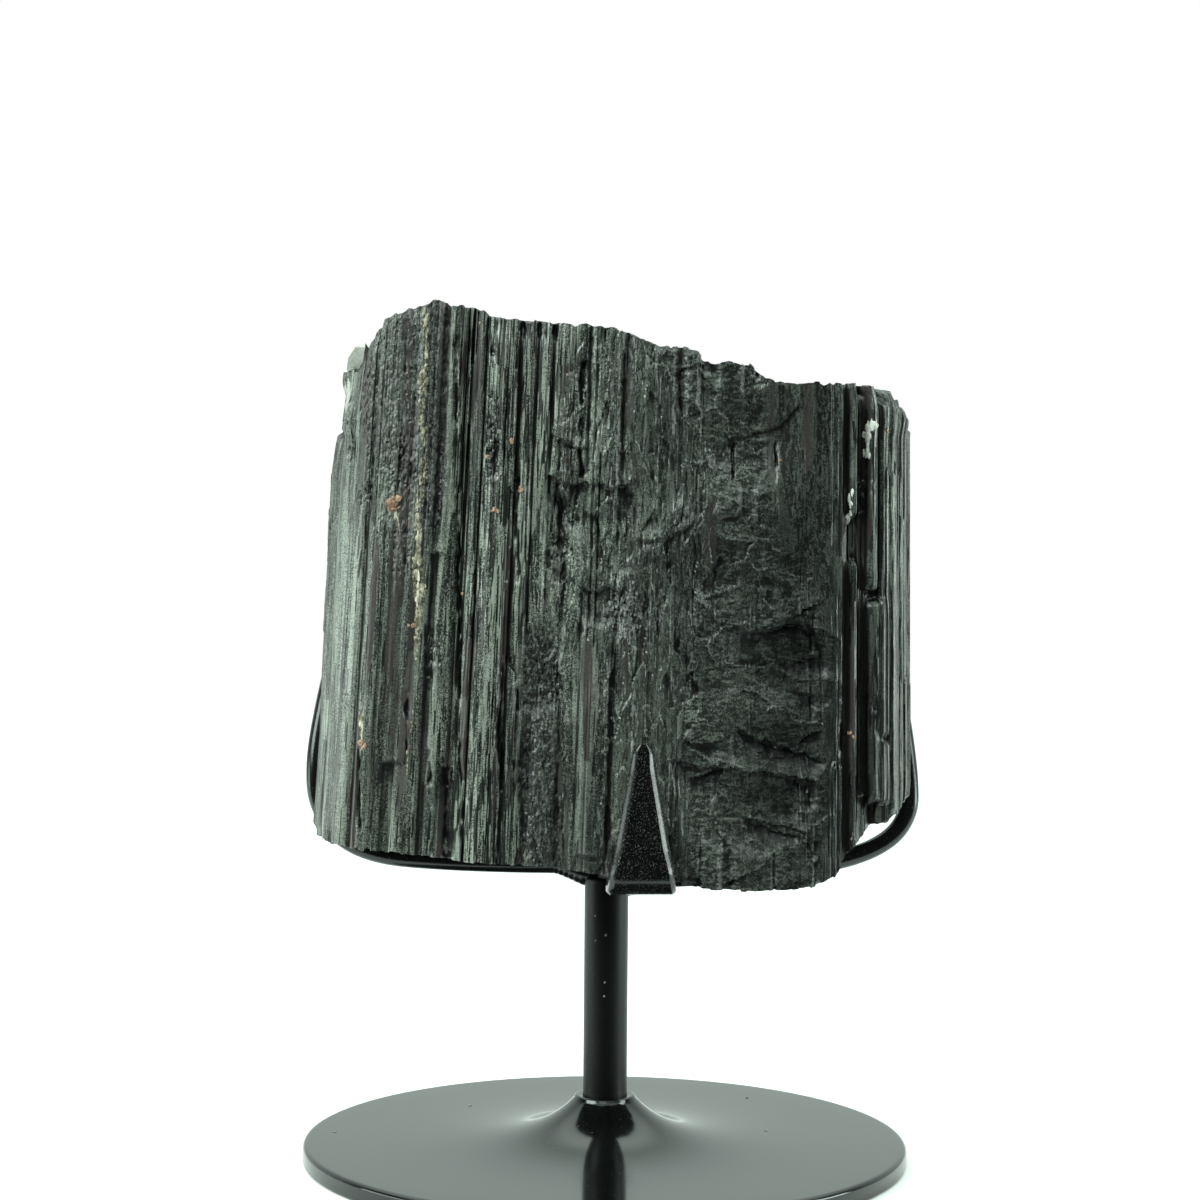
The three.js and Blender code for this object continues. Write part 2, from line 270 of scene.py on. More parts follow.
# %% [markdown]
# ## Gloss black paint
#
# The whole stand is sprayed gloss black. Close up, sprayed paint isn't a mirror: it has a fine orange
# peel, a few dull spots of dust, and a slightly varied gloss. A picture of paint would show its edges
# and its repeats, so three noises of very different sizes make the peel, the clouds and the dust. The
# foot has the smoothest coat, the stem the dullest and the hook the most dust, as on the real stand.
# On the hook the pale specks are both dust and painted glints of its sparkling coat.

# %% Mix the paint
PAINT_DEEP, PAINT_CLOUDED = (0.0015, 0.0018, 0.0018, 1), (0.0035, 0.004, 0.004, 1)
PAINT_CLOUDS_PER_METRE = 60.0


def black_paint(name, peel_size, peel_depth, gloss, ior=1.5,
                speck_size=0.5, speck_edge=0.70, speck_light=0.03):
    """Black paint with an orange peel. The lower the specks' edge is, the more dust there is."""
    material, sheet = new_finish(name)
    peel = sheet.noise(sheet.places(1 / (peel_size * MM)), detail=2.0)
    cloud = sheet.noise(sheet.places(PAINT_CLOUDS_PER_METRE), detail=4.0)
    specks = sheet.noise(sheet.places(1 / (speck_size * MM)), detail=1.0)
    specks = specks.between(speck_edge, speck_edge + 0.12)
    colour = sheet.blend(cloud, PAINT_DEEP, PAINT_CLOUDED)
    colour = sheet.blend(specks, colour, (speck_light, speck_light, 0.97 * speck_light, 1))
    coat_with(sheet, {
        "Base Color": colour,
        "Roughness": gloss + 0.10 * cloud + 0.25 * specks,
        "IOR": ior,
        "Normal": sheet.bump(peel, 0.8, peel_depth * MM),
    })
    return material


foot_paint = black_paint("foot_paint", 1.6, 0.0045, 0.07)
rod_paint = black_paint("rod_paint", 0.55, 0.02, 0.16)
stem_paint = black_paint("stem_paint", 0.45, 0.03, 0.34, ior=1.33)
# The hook's pale specks are dust and also painted glints of its sparkling coat.
hook_paint = black_paint("hook_paint", 0.5, 0.02, 0.14, speck_size=0.24, speck_edge=0.58, speck_light=0.075)
print("paints:", [paint.name for paint in (foot_paint, rod_paint, stem_paint, hook_paint)])

# %% [markdown]
# ## Foot and stem
#
# The foot is a spun disc: turning a profile round an axis is how it is made, and how it is modelled.
# The rim's edges get true round-overs, because a painted edge always catches a line of light, and the
# flare follows an exponential, the curve of metal drawn up into a collar.

# %% Turn a profile


def circle(sides):
    """Points of a circle of radius 1."""
    turn = np.linspace(0, 2 * math.pi, sides, endpoint=False)
    return np.stack([np.cos(turn), np.sin(turn)], 1)


def tube_faces(rings, sides):
    """Faces of a tube through rings of points, closed by a flat face at both ends."""
    faces = []
    for low in range(0, (rings - 1) * sides, sides):
        high = low + sides
        for k in range(sides):
            after = (k + 1) % sides
            faces.append((low + k, low + after, high + after, high + k))
    faces.append(tuple(range(sides))[::-1])
    faces.append(tuple(range((rings - 1) * sides, rings * sides)))
    return faces


def turned(profile, sides):
    """Points and faces of a profile of (radius, height) turned round Z."""
    rings = [np.column_stack([r * circle(sides), np.full(sides, z)]) for r, z in profile]
    return np.concatenate(rings), tube_faces(len(profile), sides)


def round_over(middle, radius, start_deg, end_deg, steps=6):
    """Points on an arc of a profile."""
    turn = np.radians(np.linspace(start_deg, end_deg, steps))
    return [(middle[0] + radius * math.cos(a), middle[1] + radius * math.sin(a)) for a in turn]


def shade_smooth(made, sharp_deg):
    """Smooth shading, apart from edges that are sharper than an angle."""
    mesh = made.data
    mesh.polygons.foreach_set("use_smooth", np.ones(len(mesh.polygons), bool))
    mesh.set_sharp_from_angle(angle=math.radians(sharp_deg))


def stands_for(made, node):
    """Puts a piece in the place of a solid, which it hides, and prints what the piece stands for."""
    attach(made, "root")
    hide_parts(node)
    print(made.name, "for", node, len(made.data.polygons), "faces")


# %% The foot
RIM_RADIUS, DISC_THICKNESS = 55.0, 3.3
COLLAR_RADIUS, COLLAR_TOP = 5.6, 11.6
FLARE_REACH, FLARE_START, FLARE_END = 7.0, 48.0, 0.4
RIM_TOP_ROUND, RIM_FOOT_ROUND, COLLAR_ROUND = 0.8, 0.5, 0.5
STEM_RADIUS, STEM_PLAY, SOCKET_DEPTH = 4.0, 0.1, 4.0


def flare_height(reach):
    """How high the top of the foot is at some distance outside the collar."""
    return DISC_THICKNESS + (COLLAR_TOP - COLLAR_ROUND - DISC_THICKNESS) * math.exp(-reach / FLARE_REACH)


socket_radius = STEM_RADIUS + STEM_PLAY
foot_profile = round_over((RIM_RADIUS - RIM_FOOT_ROUND, RIM_FOOT_ROUND), RIM_FOOT_ROUND, -90, 0)
foot_profile += round_over((RIM_RADIUS - RIM_TOP_ROUND, DISC_THICKNESS - RIM_TOP_ROUND), RIM_TOP_ROUND, 0, 90)
flare = np.geomspace(FLARE_START, FLARE_END, 34)
foot_profile += [(COLLAR_RADIUS + reach, flare_height(reach)) for reach in flare]
foot_profile += round_over((COLLAR_RADIUS - COLLAR_ROUND, COLLAR_TOP - COLLAR_ROUND), COLLAR_ROUND, 10, 90)
foot_profile += [(socket_radius, COLLAR_TOP - STEM_PLAY), (socket_radius, COLLAR_TOP - SOCKET_DEPTH)]
foot = add_object("foot", *turned(foot_profile, 192), foot_paint)
shade_smooth(foot, 40)
stands_for(foot, "base")

# %% The stem
STEM_FOOT, STEM_TOP, STEM_ROUND = 8.0, 51.7, 0.6

stem_profile = [(STEM_RADIUS, z) for z in np.linspace(STEM_FOOT, STEM_TOP - STEM_ROUND, 14)]
stem_profile += round_over((STEM_RADIUS - STEM_ROUND, STEM_TOP - STEM_ROUND), STEM_ROUND, 15, 90, 5)
stem = add_object("stem_rod", *turned(stem_profile, 64), stem_paint)
shade_smooth(stem, 40)
stands_for(stem, "stem")

# %% [markdown]
# ## Nibs in the paint
#
# Dust fell into the wet paint and left a few hard grains on the foot and down the front of the stem.
# Each is a low dome that sits on the surface under it, so its place comes from the same profile that
# the foot and the stem were turned from. One round lump, reshaped for each, is enough here, and it
# serves for the mineral grains later.

# %% A lump to reshape
lump = bmesh.new()
bmesh.ops.create_icosphere(lump, subdivisions=2, radius=1.0)
lump_points = np.array([v.co[:] for v in lump.verts])
lump_faces = [[v.index for v in face.verts] for face in lump.faces]
lump.free()


def joined_lumps(name, shapes, material, sharp_deg):
    """One mesh of many lumps, each given by its reshaped points."""
    faces = [[i + k * len(lump_points) for i in face] for k in range(len(shapes)) for face in lump_faces]
    made = add_object(name, np.vstack(shapes), faces, material)
    shade_smooth(made, sharp_deg)
    return made


print("lump of", len(lump_points), "points and", len(lump_faces), "faces")

# %% Place the nibs
# On the foot each is (x, y, size), and on the stem (x, height, size).
FOOT_NIBS = [(-25.8, 26.1, 0.45), (-49.7, 3.6, 0.4), (29.9, 6.3, 0.35), (27.8, 35.0, 0.4)]
STEM_NIBS = [(-0.1, 41.5, 0.28), (-0.2, 32.8, 0.24), (-0.3, 30.3, 0.26), (-2.0, 44.9, 0.2), (-1.9, 40.4, 0.2)]

nib_paint = black_paint("nib_paint", 0.3, 0.02, 0.3, speck_size=0.3, speck_edge=0.35, speck_light=0.22)
nib_shapes = []
for x, y, size in FOOT_NIBS:
    top = flare_height(math.hypot(x, y) - COLLAR_RADIUS)
    nib_shapes.append(lump_points * (size, 0.8 * size, 0.45 * size) + (x, y, top))
for x, z, size in STEM_NIBS:
    front = -math.sqrt(STEM_RADIUS**2 - x**2)
    nib_shapes.append(lump_points * (0.8 * size, 0.5 * size, size) + (x, front, z))
nibs = joined_lumps("paint_nibs", nib_shapes, nib_paint, 60)
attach(nibs, "root")
print("nibs in the paint:", len(nib_shapes))

# %% [markdown]
# ## Arms
#
# Each arm is one length of round rod, bent cold by hand: along under the crystal, round a corner, and
# up behind it. A section carried along a smooth curve gives the rod. The frame of the section is
# passed on from point to point, so that it doesn't twist at the corners.

# %% Carry a section along a path


def smooth_path(points, per_span=14):
    """A smooth curve that passes through the points."""
    p = np.asarray(points, float)
    p = np.vstack([2 * p[0] - p[1], p, 2 * p[-1] - p[-2]])
    t = np.linspace(0, 1, per_span, endpoint=False)[:, None]
    spans = []
    for a, b, c, d in zip(p, p[1:], p[2:], p[3:]):
        spans.append(0.5 * (2 * b + (c - a) * t + (2 * a - 5 * b + 4 * c - d) * t**2
                            + (3 * b - a - 3 * c + d) * t**3))
    return np.vstack(spans + [p[-2:-1]])


def frames_along(path):
    """Two directions across the path at each point, passed on without twist."""
    along = np.gradient(path, axis=0)
    along /= np.linalg.norm(along, axis=1)[:, None]
    side = np.cross(along[0], (0.0, 0.0, 1.0))
    sides = []
    for way in along:
        side = side - way * np.dot(side, way)
        side /= np.linalg.norm(side)
        sides.append(side)
    sides = np.array(sides)
    return sides, np.cross(along, sides)


def carried(path, sections):
    """Points and faces of closed sections, each of (across, up) points, set along a path."""
    sides, ups = frames_along(path)
    rings = [at + s[:, :1] * side + s[:, 1:] * up for at, s, side, up in zip(path, sections, sides, ups)]
    return np.concatenate(rings), tube_faces(len(path), len(sections[0]))


# %% Bend the arms
ROUNDEST_END = 0.93
ROD_RADIUS = 1.75
LEFT_ARM = [(-2.2, 1.6, 53.8), (-14, 2.4, 53.5), (-30, 4, 53.7), (-41.5, 5.6, 54.6), (-48.8, 7, 57.6),
            (-53, 8, 63.4), (-53.9, 9, 70.5), (-52.8, 11.5, 80), (-50.2, 14.5, 91), (-45.5, 17.2, 99.5),
            (-38, 18.4, 104)]
RIGHT_ARM = [(5, 2.4, 51), (15, 2.8, 51.2), (30, 4, 52.3), (43.5, 5.6, 54.4), (51.4, 7, 57.6),
             (55.2, 8, 62.2), (55.8, 9, 68), (54.6, 11.5, 79), (52.4, 14.5, 90), (48, 17, 99),
             (41, 18.4, 104)]


def run_along(path):
    """The length of a path up to each of its points."""
    return np.concatenate([[0], np.cumsum(np.linalg.norm(np.diff(path, axis=0), axis=1))])


def round_bar(path, radius, sides=24):
    """A round rod along a path, with softly rounded ends."""
    run = run_along(path)
    to_end = np.minimum(run, run[-1] - run)
    sizes = radius * np.sqrt(np.clip(1 - np.clip(1 - to_end / radius, 0, ROUNDEST_END) ** 2, 0, 1))
    return carried(path, [circle(sides) * size for size in sizes])


for name, node, line in (("left_rod", "left_arm", LEFT_ARM), ("right_rod", "right_arm", RIGHT_ARM)):
    arm = add_object(name, *round_bar(smooth_path(line), ROD_RADIUS), rod_paint)
    shade_smooth(arm, 50)
    stands_for(arm, node)

# %% [markdown]
# ## Welds
#
# Where the arms meet the stem, the welder left a thick fillet that runs out along each rod. The same
# carried section makes it, with a radius that shrinks to the rod's and small ripples, one for each
# dab of the weld.

# %% Lay the welds
# Each point is (x, y, z, radius).
LEFT_WELD = [(-1.2, 0.8, 52.0, 2.3), (-3.4, 1.1, 52.2, 2.5), (-6.0, 1.6, 52.9, 2.2), (-8.6, 2.0, 53.5, 1.85),
             (-10.4, 2.2, 53.55, 1.7)]
RIGHT_WELD = [(1.8, 1.4, 49.6, 2.0), (4.4, 2.1, 50.0, 2.15), (6.6, 2.45, 50.8, 1.9), (9.0, 2.6, 51.05, 1.7)]


def weld(line, dab=1.1, ripple=0.07, sides=32):
    """A fillet of changing radius with a ripple for each dab."""
    fine = smooth_path(line, 16)
    path = fine[:, :3]
    sizes = fine[:, 3] + ripple * np.abs(np.sin(math.pi * run_along(path) / dab))
    return carried(path, [circle(sides) * size for size in sizes])


for name, line in (("left_weld", LEFT_WELD), ("right_weld", RIGHT_WELD)):
    bead = add_object(name, *weld(line), rod_paint)
    shade_smooth(bead, 50)
    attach(bead, "root")
    print(bead.name, len(bead.data.polygons), "faces")

# %% [markdown]
# ## Front hook
#
# The hook is a flat strap cut to a long taper and bent up in front of the crystal. Its long edges were
# ground off before painting, and they show as two bright lines, so the section is a flat bar with
# bevelled edges whose width changes along the bend.

# %% The strap's line and section
# The widths and the bevels are (length along the strap, size).
STRAP_THICKNESS = 1.8
BEND_RADIUS = 3.6
HOOK_REACH, HOOK_TOP = 26.1, 78.2
HOOK_LEAN_DEG = 3.5
HOOK_YAW_DEG = 3.0
HOOK_SHIFT = 4.8
HOOK_WIDTHS = [(0, 9.0), (22, 12.4), (28.4, 10.9), (48.4, 3.7), (49.5, 3.1), (50.2, 1.8)]
EDGE_BEVELS = [(0, 0.3), (24, 0.6), (27, 0.9), (32, 1.3), (46, 1.15), (50.2, 0.5)]
BEVEL_START_DEG, BEVEL_END_DEG = 34.0, 56.0
BACK_EDGE = 0.25


def strap_line():
    """The middle of the strap seen from the side: (forward, up)."""
    lean = math.radians(HOOK_LEAN_DEG)
    low = STEM_TOP + STRAP_THICKNESS / 2
    middle = (HOOK_REACH - BEND_RADIUS, low + BEND_RADIUS)
    run = [(x, low) for x in np.linspace(0.0, middle[0], 12, endpoint=False)]
    bend = round_over(middle, BEND_RADIUS, -90, HOOK_LEAN_DEG, 14)
    heights = np.linspace(bend[-1][1], HOOK_TOP, 26)[1:]
    rise = [(bend[-1][0] - (z - bend[-1][1]) * math.tan(lean), z) for z in heights]
    return run + bend + rise


def strap_section(width, bevel):
    """A flat bar whose outer long edges are ground to slightly round bevels, as (across, up) points."""
    a, b = width / 2, STRAP_THICKNESS / 2
    shallow, steep = math.radians(BEVEL_START_DEG), math.radians(BEVEL_END_DEG)
    curve = min(bevel, a * 0.5) / (math.sin(steep) - math.sin(shallow))
    half = [(a - BACK_EDGE, -b), (a, -b + BACK_EDGE)]
    half += [(a - curve * (math.sin(steep) - math.sin(t)), b - curve * (math.cos(shallow) - math.cos(t)))
             for t in np.linspace(steep, shallow, 6)]
    return np.array(half + [(-x, y) for x, y in reversed(half)])


path = np.array([(0.0, -forward, up) for forward, up in strap_line()])
run = run_along(path)
print("strap length", round(float(run[-1]), 1), "mm")

# %% Bend the hook


def value_along(line, at):
    """Reads a value off a line of (place, value) points."""
    return np.interp(at, [p[0] for p in line], [p[1] for p in line])


widths, bevels = value_along(HOOK_WIDTHS, run), value_along(EDGE_BEVELS, run)
points, faces = carried(path, [strap_section(w, c) for w, c in zip(widths, bevels)])
yaw = math.radians(HOOK_YAW_DEG)
spin = np.array([[math.cos(yaw), -math.sin(yaw), 0], [math.sin(yaw), math.cos(yaw), 0], [0, 0, 1]])
hook = add_object("hook_strap", points @ spin.T + (HOOK_SHIFT, 0, 0), faces, hook_paint)
shade_smooth(hook, 20)
stands_for(hook, "front_hook")

# %% [markdown]
# ## Crystal: walking round it
#
# The crystal's solid has the main columns, ledges and shell-shaped breaks. The real one is finer by
# two orders: each column is a bundle of hair-thin ribs. A skin of small faces can carry these. It is
# made by walking round the slab and shooting rays inwards at many heights, which gives a grid of
# depths that can then be carved with numbers. The grid lines follow the grain, which fans out a little
# downwards, so that ribs run along them. A line of points across the top and one along the foot say
# where the columns end, and one for each side trims the outline there.

# %% The way round the slab
WALK_HALF_WIDTH, WALK_HALF_DEPTH = 55.0, 23.2
WALK_MIDDLE = np.array((0.2, -0.6))
WALK_SQUARENESS = 3.2
FRONT_STEP, SIDE_STEP, BACK_STEP = 0.17, 0.45, 0.8
FRONT_FACING, BACK_FACING = -0.45, 0.55
GRAIN_HEIGHT = 106.0
GRAIN_LEFT, GRAIN_RIGHT = -50, 50
LEAN_LEFT_DEG, LEAN_RIGHT_DEG = 3.8, -0.8
WALK_POINTS = 40001


def power(value, exponent):
    """A power that keeps the sign."""
    return np.sign(value) * np.abs(value) ** exponent


def lean_at(x):
    """How far the grain moves to the right for each millimetre up."""
    across = np.clip((x - GRAIN_LEFT) / (GRAIN_RIGHT - GRAIN_LEFT), 0, 1)
    return np.tan(np.radians(LEAN_LEFT_DEG + (LEAN_RIGHT_DEG - LEAN_LEFT_DEG) * across))


turn = np.linspace(0.5 * math.pi, 2.5 * math.pi, WALK_POINTS)
loop = np.stack([WALK_HALF_WIDTH * power(np.cos(turn), 2 / WALK_SQUARENESS),
                 WALK_HALF_DEPTH * power(np.sin(turn), 2 / WALK_SQUARENESS)], 1)
facing = np.stack([power(loop[:, 0] / WALK_HALF_WIDTH, WALK_SQUARENESS - 1) / WALK_HALF_WIDTH,
                   power(loop[:, 1] / WALK_HALF_DEPTH, WALK_SQUARENESS - 1) / WALK_HALF_DEPTH], 1)
facing /= np.linalg.norm(facing, axis=1)[:, None]
walked = run_along(loop)
step = np.where(facing[:, 1] > BACK_FACING, BACK_STEP, SIDE_STEP)
step = np.where(facing[:, 1] < FRONT_FACING, FRONT_STEP, step)
stops = np.concatenate([[0], np.cumsum(np.diff(walked) / step[1:])])
picks = np.searchsorted(stops, np.arange(int(stops[-1])))
around = walked[picks]
outward = facing[picks]
rim = loop[picks] + WALK_MIDDLE
lean = lean_at(rim[:, 0])
print("walk of", round(walked[-1]), "mm in", len(around), "steps")

# %% Rays at the solid
FAR_OUT = 12.0
DEEPEST = 14.0

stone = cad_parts["crystal"].data
corners = [tuple(v.co / MM) for v in stone.vertices]
target = BVHTree.FromPolygons(corners, [tuple(p.vertices) for p in stone.polygons])


def shoot(start, way):
    """How far a ray goes before it meets the solid, or nan."""
    hit = target.ray_cast(start, way)
    return float("nan") if hit[0] is None else hit[3]


def depth_at(column, height):
    """How far the solid lies behind the walk, or nan."""
    out_x, out_y = outward[column]
    x = rim[column, 0] + lean[column] * (height - GRAIN_HEIGHT) + out_x * FAR_OUT
    found = shoot((x, rim[column, 1] + out_y * FAR_OUT, height), (-out_x, -out_y, 0.0)) - FAR_OUT
    return found if found < DEEPEST else float("nan")


def mend(values):
    """Fills gaps in a row of numbers from its neighbours."""
    good = np.isfinite(values)
    return np.interp(np.arange(len(values)), np.flatnonzero(good), values[good])


def reach_at(height):
    """How far to the right each column's face lies at one height."""
    found = mend(np.array([depth_at(column, height) for column in range(len(around))]))
    return rim[:, 0] + lean * (height - GRAIN_HEIGHT) - outward[:, 0] * found


print("solid of", len(corners), "points to shoot at")

# %% Where the columns end
# Each point is (x, height).
TOP_EDGE = [(-54, 126), (-49, 127.5), (-48.4, 130), (-48.1, 134.8), (-47.5, 136), (-47.2, 141.5),
            (-46.4, 143), (-44.6, 143.4), (-43.6, 147), (-42.3, 150.7), (-39, 152.8), (-33.2, 154.2),
            (-31.6, 155), (-25.8, 154), (-23.2, 153.4), (-21.8, 152.2), (-13, 151.6), (-3, 150.8),
            (1.6, 150.1), (7.3, 147.8), (14.2, 147), (16.3, 145), (24, 144.4), (26.4, 142),
            (32, 141.4), (48.5, 140.8), (51.6, 139.4), (54, 136)]
FOOT_EDGE = [(-54, 61.5), (-51.8, 60.9), (-47.5, 59.9), (-41, 58.7), (-32.5, 57.9), (-22.5, 56.8),
             (-9, 55.9), (0, 54.5), (12.4, 54.4), (13.4, 52.8), (26.3, 52), (31.6, 52.2), (37, 53),
             (40, 54.6), (43, 59.4), (44.7, 61), (49.7, 64), (54, 67)]
TOP_READ_AT, FOOT_READ_AT = 134, 68
FOOT_DROP, FOOT_DROP_LEFT_OF = 0.13, -40
ROWS = 280

at_back = np.clip((outward[:, 1] - 0.3) / 0.4, 0, 1)
narrow_ends = np.random.default_rng(5).uniform(0, 1, 400)[around.astype(int)]
broad_ends = np.random.default_rng(6).uniform(0, 1, 400)[(around / 3.5).astype(int)]
unevenness = 0.5 * narrow_ends * (1 - at_back) + 1.2 * broad_ends * at_back
tops = value_along(TOP_EDGE, reach_at(TOP_READ_AT)) - unevenness
feet = value_along(FOOT_EDGE, reach_at(FOOT_READ_AT)) + 0.8 * unevenness
feet -= FOOT_DROP * (rim[:, 1] - rim[:, 1].min()) * (rim[:, 0] < FOOT_DROP_LEFT_OF) * (1 - at_back)
part_way = np.linspace(0, 1, ROWS)
heights = feet[:, None] + (tops - feet)[:, None] * part_way
for name, ends in (("tops", tops), ("feet", feet)):
    print(name, "from", ends.min().round(1), "to", ends.max().round(1), "mm")

# %% The grid of depths
# The lower left corner runs on straight below a height. Each trim is (height, how far to go in).
FEWEST_HITS = 20
CORNER_HEIGHT, CORNER_SLOPE, CORNER_LEFT_OF = 68.0, 0.12, -42
LEFT_TRIM = [(60, 1.0), (66, 1.2), (78, 1.2), (90, 0.7), (105, 0.4), (118, 0.1), (125, 0), (131.3, 0.6),
             (132.3, -1.4), (136, -1.2), (142, -0.7), (145, -0.3), (149, -1.0), (155, -1.0)]
RIGHT_TRIM = [(132, 0), (134.5, -0.7), (137, -1.1), (139, -0.9), (141, -0.8)]

depth = np.array([[depth_at(column, z) for z in heights[column]] for column in range(len(around))])
print("rays lost:", int(np.isnan(depth).sum()), "of", depth.size)
depth = np.array([mend(row) if np.isfinite(row).sum() > FEWEST_HITS else row * np.nan for row in depth])
depth = np.array([mend(row) for row in depth.T]).T
for column in np.flatnonzero((rim[:, 0] < CORNER_LEFT_OF) & (at_back < 1)):
    below = np.clip(CORNER_HEIGHT - heights[column], 0, None)
    straight = np.interp(CORNER_HEIGHT, heights[column], depth[column]) + CORNER_SLOPE * below
    depth[column] = np.where(below > 0, np.minimum(depth[column], straight), depth[column])
for side, trim in ((-1, LEFT_TRIM), (1, RIGHT_TRIM)):
    facing_side = np.clip((side * outward[:, :1] - 0.3) / 0.5, 0, 1) * (1 - at_back[:, None])
    depth += facing_side * value_along(trim, heights)
print("depth behind the walk", round(np.nanmin(depth), 2), "to", round(np.nanmax(depth), 2), "mm")

# %% [markdown]
# ## Crystal: carving the grain
#
# Now the grid is carved. Ribs are steps across the grain that hold along it, and each breaks off at a
# few heights of its own, which leaves the small ledges. The left faces are broad and satin, the next
# are bundles of threads with black gaps. The middle of the front has splintered into angular plates,
# to the right of it the stone broke in shallow shells, and at the far right columns stand again. A
# rough, pitted band runs down the upper left. Sculpting all this by hand would take days and could not
# be changed later, so a few lines say where each kind begins and numbers do the rest.

# %% Random heights
TABLE = 512
rng = np.random.default_rng(12)


def cloud(u, v, size_u, size_v, seed, octaves=3):
    """Smooth random heights from -1 to 1, with features of the given sizes."""
    total, scale, weight = 0.0, 1.0, 0.0
    for octave in range(octaves):
        table = np.random.default_rng(seed + octave).uniform(-1, 1, (TABLE, TABLE))
        a, b = u / size_u * 2**octave + TABLE // 2, v / size_v * 2**octave + TABLE // 2
        i, j = np.floor(a).astype(int), np.floor(b).astype(int)
        p, q = a - i, b - j
        p, q = p * p * (3 - 2 * p), q * q * (3 - 2 * q)
        i0, i1, j0, j1 = i % TABLE, (i + 1) % TABLE, j % TABLE, (j + 1) % TABLE
        low = table[i0, j0] * (1 - p) + table[i1, j0] * p
        high = table[i0, j1] * (1 - p) + table[i1, j1] * p
        total = total + scale * (low * (1 - q) + high * q)
        weight += scale
        scale *= 0.5
    return total / weight


# %% Angular plates
around_grid = np.repeat(around[:, None], ROWS, axis=1)


def plates(wide, tall, level, tilt, dish, seed, bend=0.3):
    """Plates round scattered points: each has a level and a tilt of its own, and may be hollow."""
    a = around_grid / wide + bend * cloud(around_grid, heights, 1.5 * wide, tall, seed + 50) + TABLE // 2
    b = heights / tall + bend * cloud(around_grid, heights, wide, 1.5 * tall, seed + 60) + TABLE // 2
    chance = np.random.default_rng(seed).uniform(0, 1, (TABLE, TABLE, 5))
    i, j = np.floor(a).astype(int), np.floor(b).astype(int)
    nearest = np.full(a.shape, 99.0)
    relief = np.zeros(a.shape)
    for di, dj in [(p, q) for p in (-1, 0, 1) for q in (-1, 0, 1)]:
        mine = chance[(i + di) % TABLE, (j + dj) % TABLE]
        off_a, off_b = a - i - di - mine[..., 0], b - j - dj - mine[..., 1]
        away = off_a**2 + off_b**2
        shape = level * (2 * mine[..., 2] - 1) + dish * (away - 0.3)
        shape += tilt * ((2 * mine[..., 3] - 1) * off_a + (2 * mine[..., 4] - 1) * off_b)
        relief = np.where(away < nearest, shape, relief)
        nearest = np.minimum(nearest, away)
    return relief


# %% Ribs along the grain
LOWEST_BREAK, HIGHEST_BREAK = 54, 156


def ribs(narrow, wide, height, breaks, gap_share, gap_depth, ragged=0.5):
    """Ribs: a level, a tilt and a few breaks for each, and narrow sunk gaps between them."""
    widths = narrow + (wide - narrow) * rng.random(int(walked[-1] / narrow) + 2) ** 2
    edges = np.concatenate([[0], np.cumsum(widths)])
    which = np.clip(np.searchsorted(edges, around, side="right") - 1, 0, len(widths) - 1)
    place = (around - edges[which]) / widths[which] - 0.5
    relief = np.zeros_like(heights)
    for rib in np.unique(which):
        mine = which == rib
        cuts = np.sort(rng.uniform(LOWEST_BREAK, HIGHEST_BREAK, rng.poisson(breaks)))
        levels = rng.uniform(-0.5, 0.5, len(cuts) + 1) + rng.uniform(-0.5, 0.5)
        if rng.random() < gap_share and widths[rib] < 0.5 * (narrow + wide):
            sunk = rng.random(len(levels)) < 0.7
            levels[sunk] = -rng.uniform(0.5, 1.0, sunk.sum()) * gap_depth / height
        uneven = rng.normal(0, ragged, mine.sum())[:, None]
        relief[mine] = levels[np.searchsorted(cuts, heights[mine] + uneven)]
        relief[mine] += (rng.uniform(-0.8, 0.8) * place[mine])[:, None]
    return height * relief


# %% Lines between the kinds of surface
# Each point is (height, x).
THREADED_LEFT = [(52, -27), (100, -26.5), (150, -28)]
SPLINTER_LEFT = [(52, -8), (98, -9), (106, -12), (122, -11), (140, -8), (150, -5)]
SHELL_LEFT = [(52, 15), (75, 13), (95, 15), (110, 18), (126, 18), (136, 13), (150, 8)]
SHELL_RIGHT = [(52, 37), (75, 38.5), (97, 39.5), (106, 35), (120, 30), (134, 28), (141, 28)]
COLUMNS_LEFT = [(52, 37.5), (75, 39), (97, 40), (120, 40.5), (141, 41)]
FAR_RIGHT = [(52, 60), (141, 60)]
PITTED_LEFT = [(100, -36), (112, -39), (126, -43), (154, -45)]
PITTED_RIGHT = [(100, -34), (112, -31), (126, -28.5), (154, -28)]
GRAINY_LEFT = [(52, -15.5), (100, -14.5)]
GRAINY_RIGHT = [(52, -8), (100, -9)]
SHEET_LEFT = [(52, -7.5), (90, -7), (97, -5)]
SHEET_RIGHT = [(52, -1.8), (90, -2), (97, -4)]

front_at = rim[:, :1] + lean[:, None] * (heights - GRAIN_HEIGHT)
is_front = np.clip((-outward[:, 1:] - 0.3) / 0.2, 0, 1)
wander = 1.8 * cloud(front_at, heights, 7, 9, 70)


def inside(left, right, soft):
    """1 between two lines of the front and 0 outside, with a soft and wandering edge."""
    low = (front_at - value_along(left, heights) + wander) / soft
    high = (value_along(right, heights) - front_at + wander) / soft
    return np.clip(np.minimum(low, high) + 0.5, 0, 1) * is_front


print("lines wander by up to", round(float(np.abs(wander).max()), 1), "mm")

# %% Where the stone is threaded, splintered, shelled or pitted
SHEET_TOP, PITTED_FOOT, GRAINY_TOP = 97, 100, 102

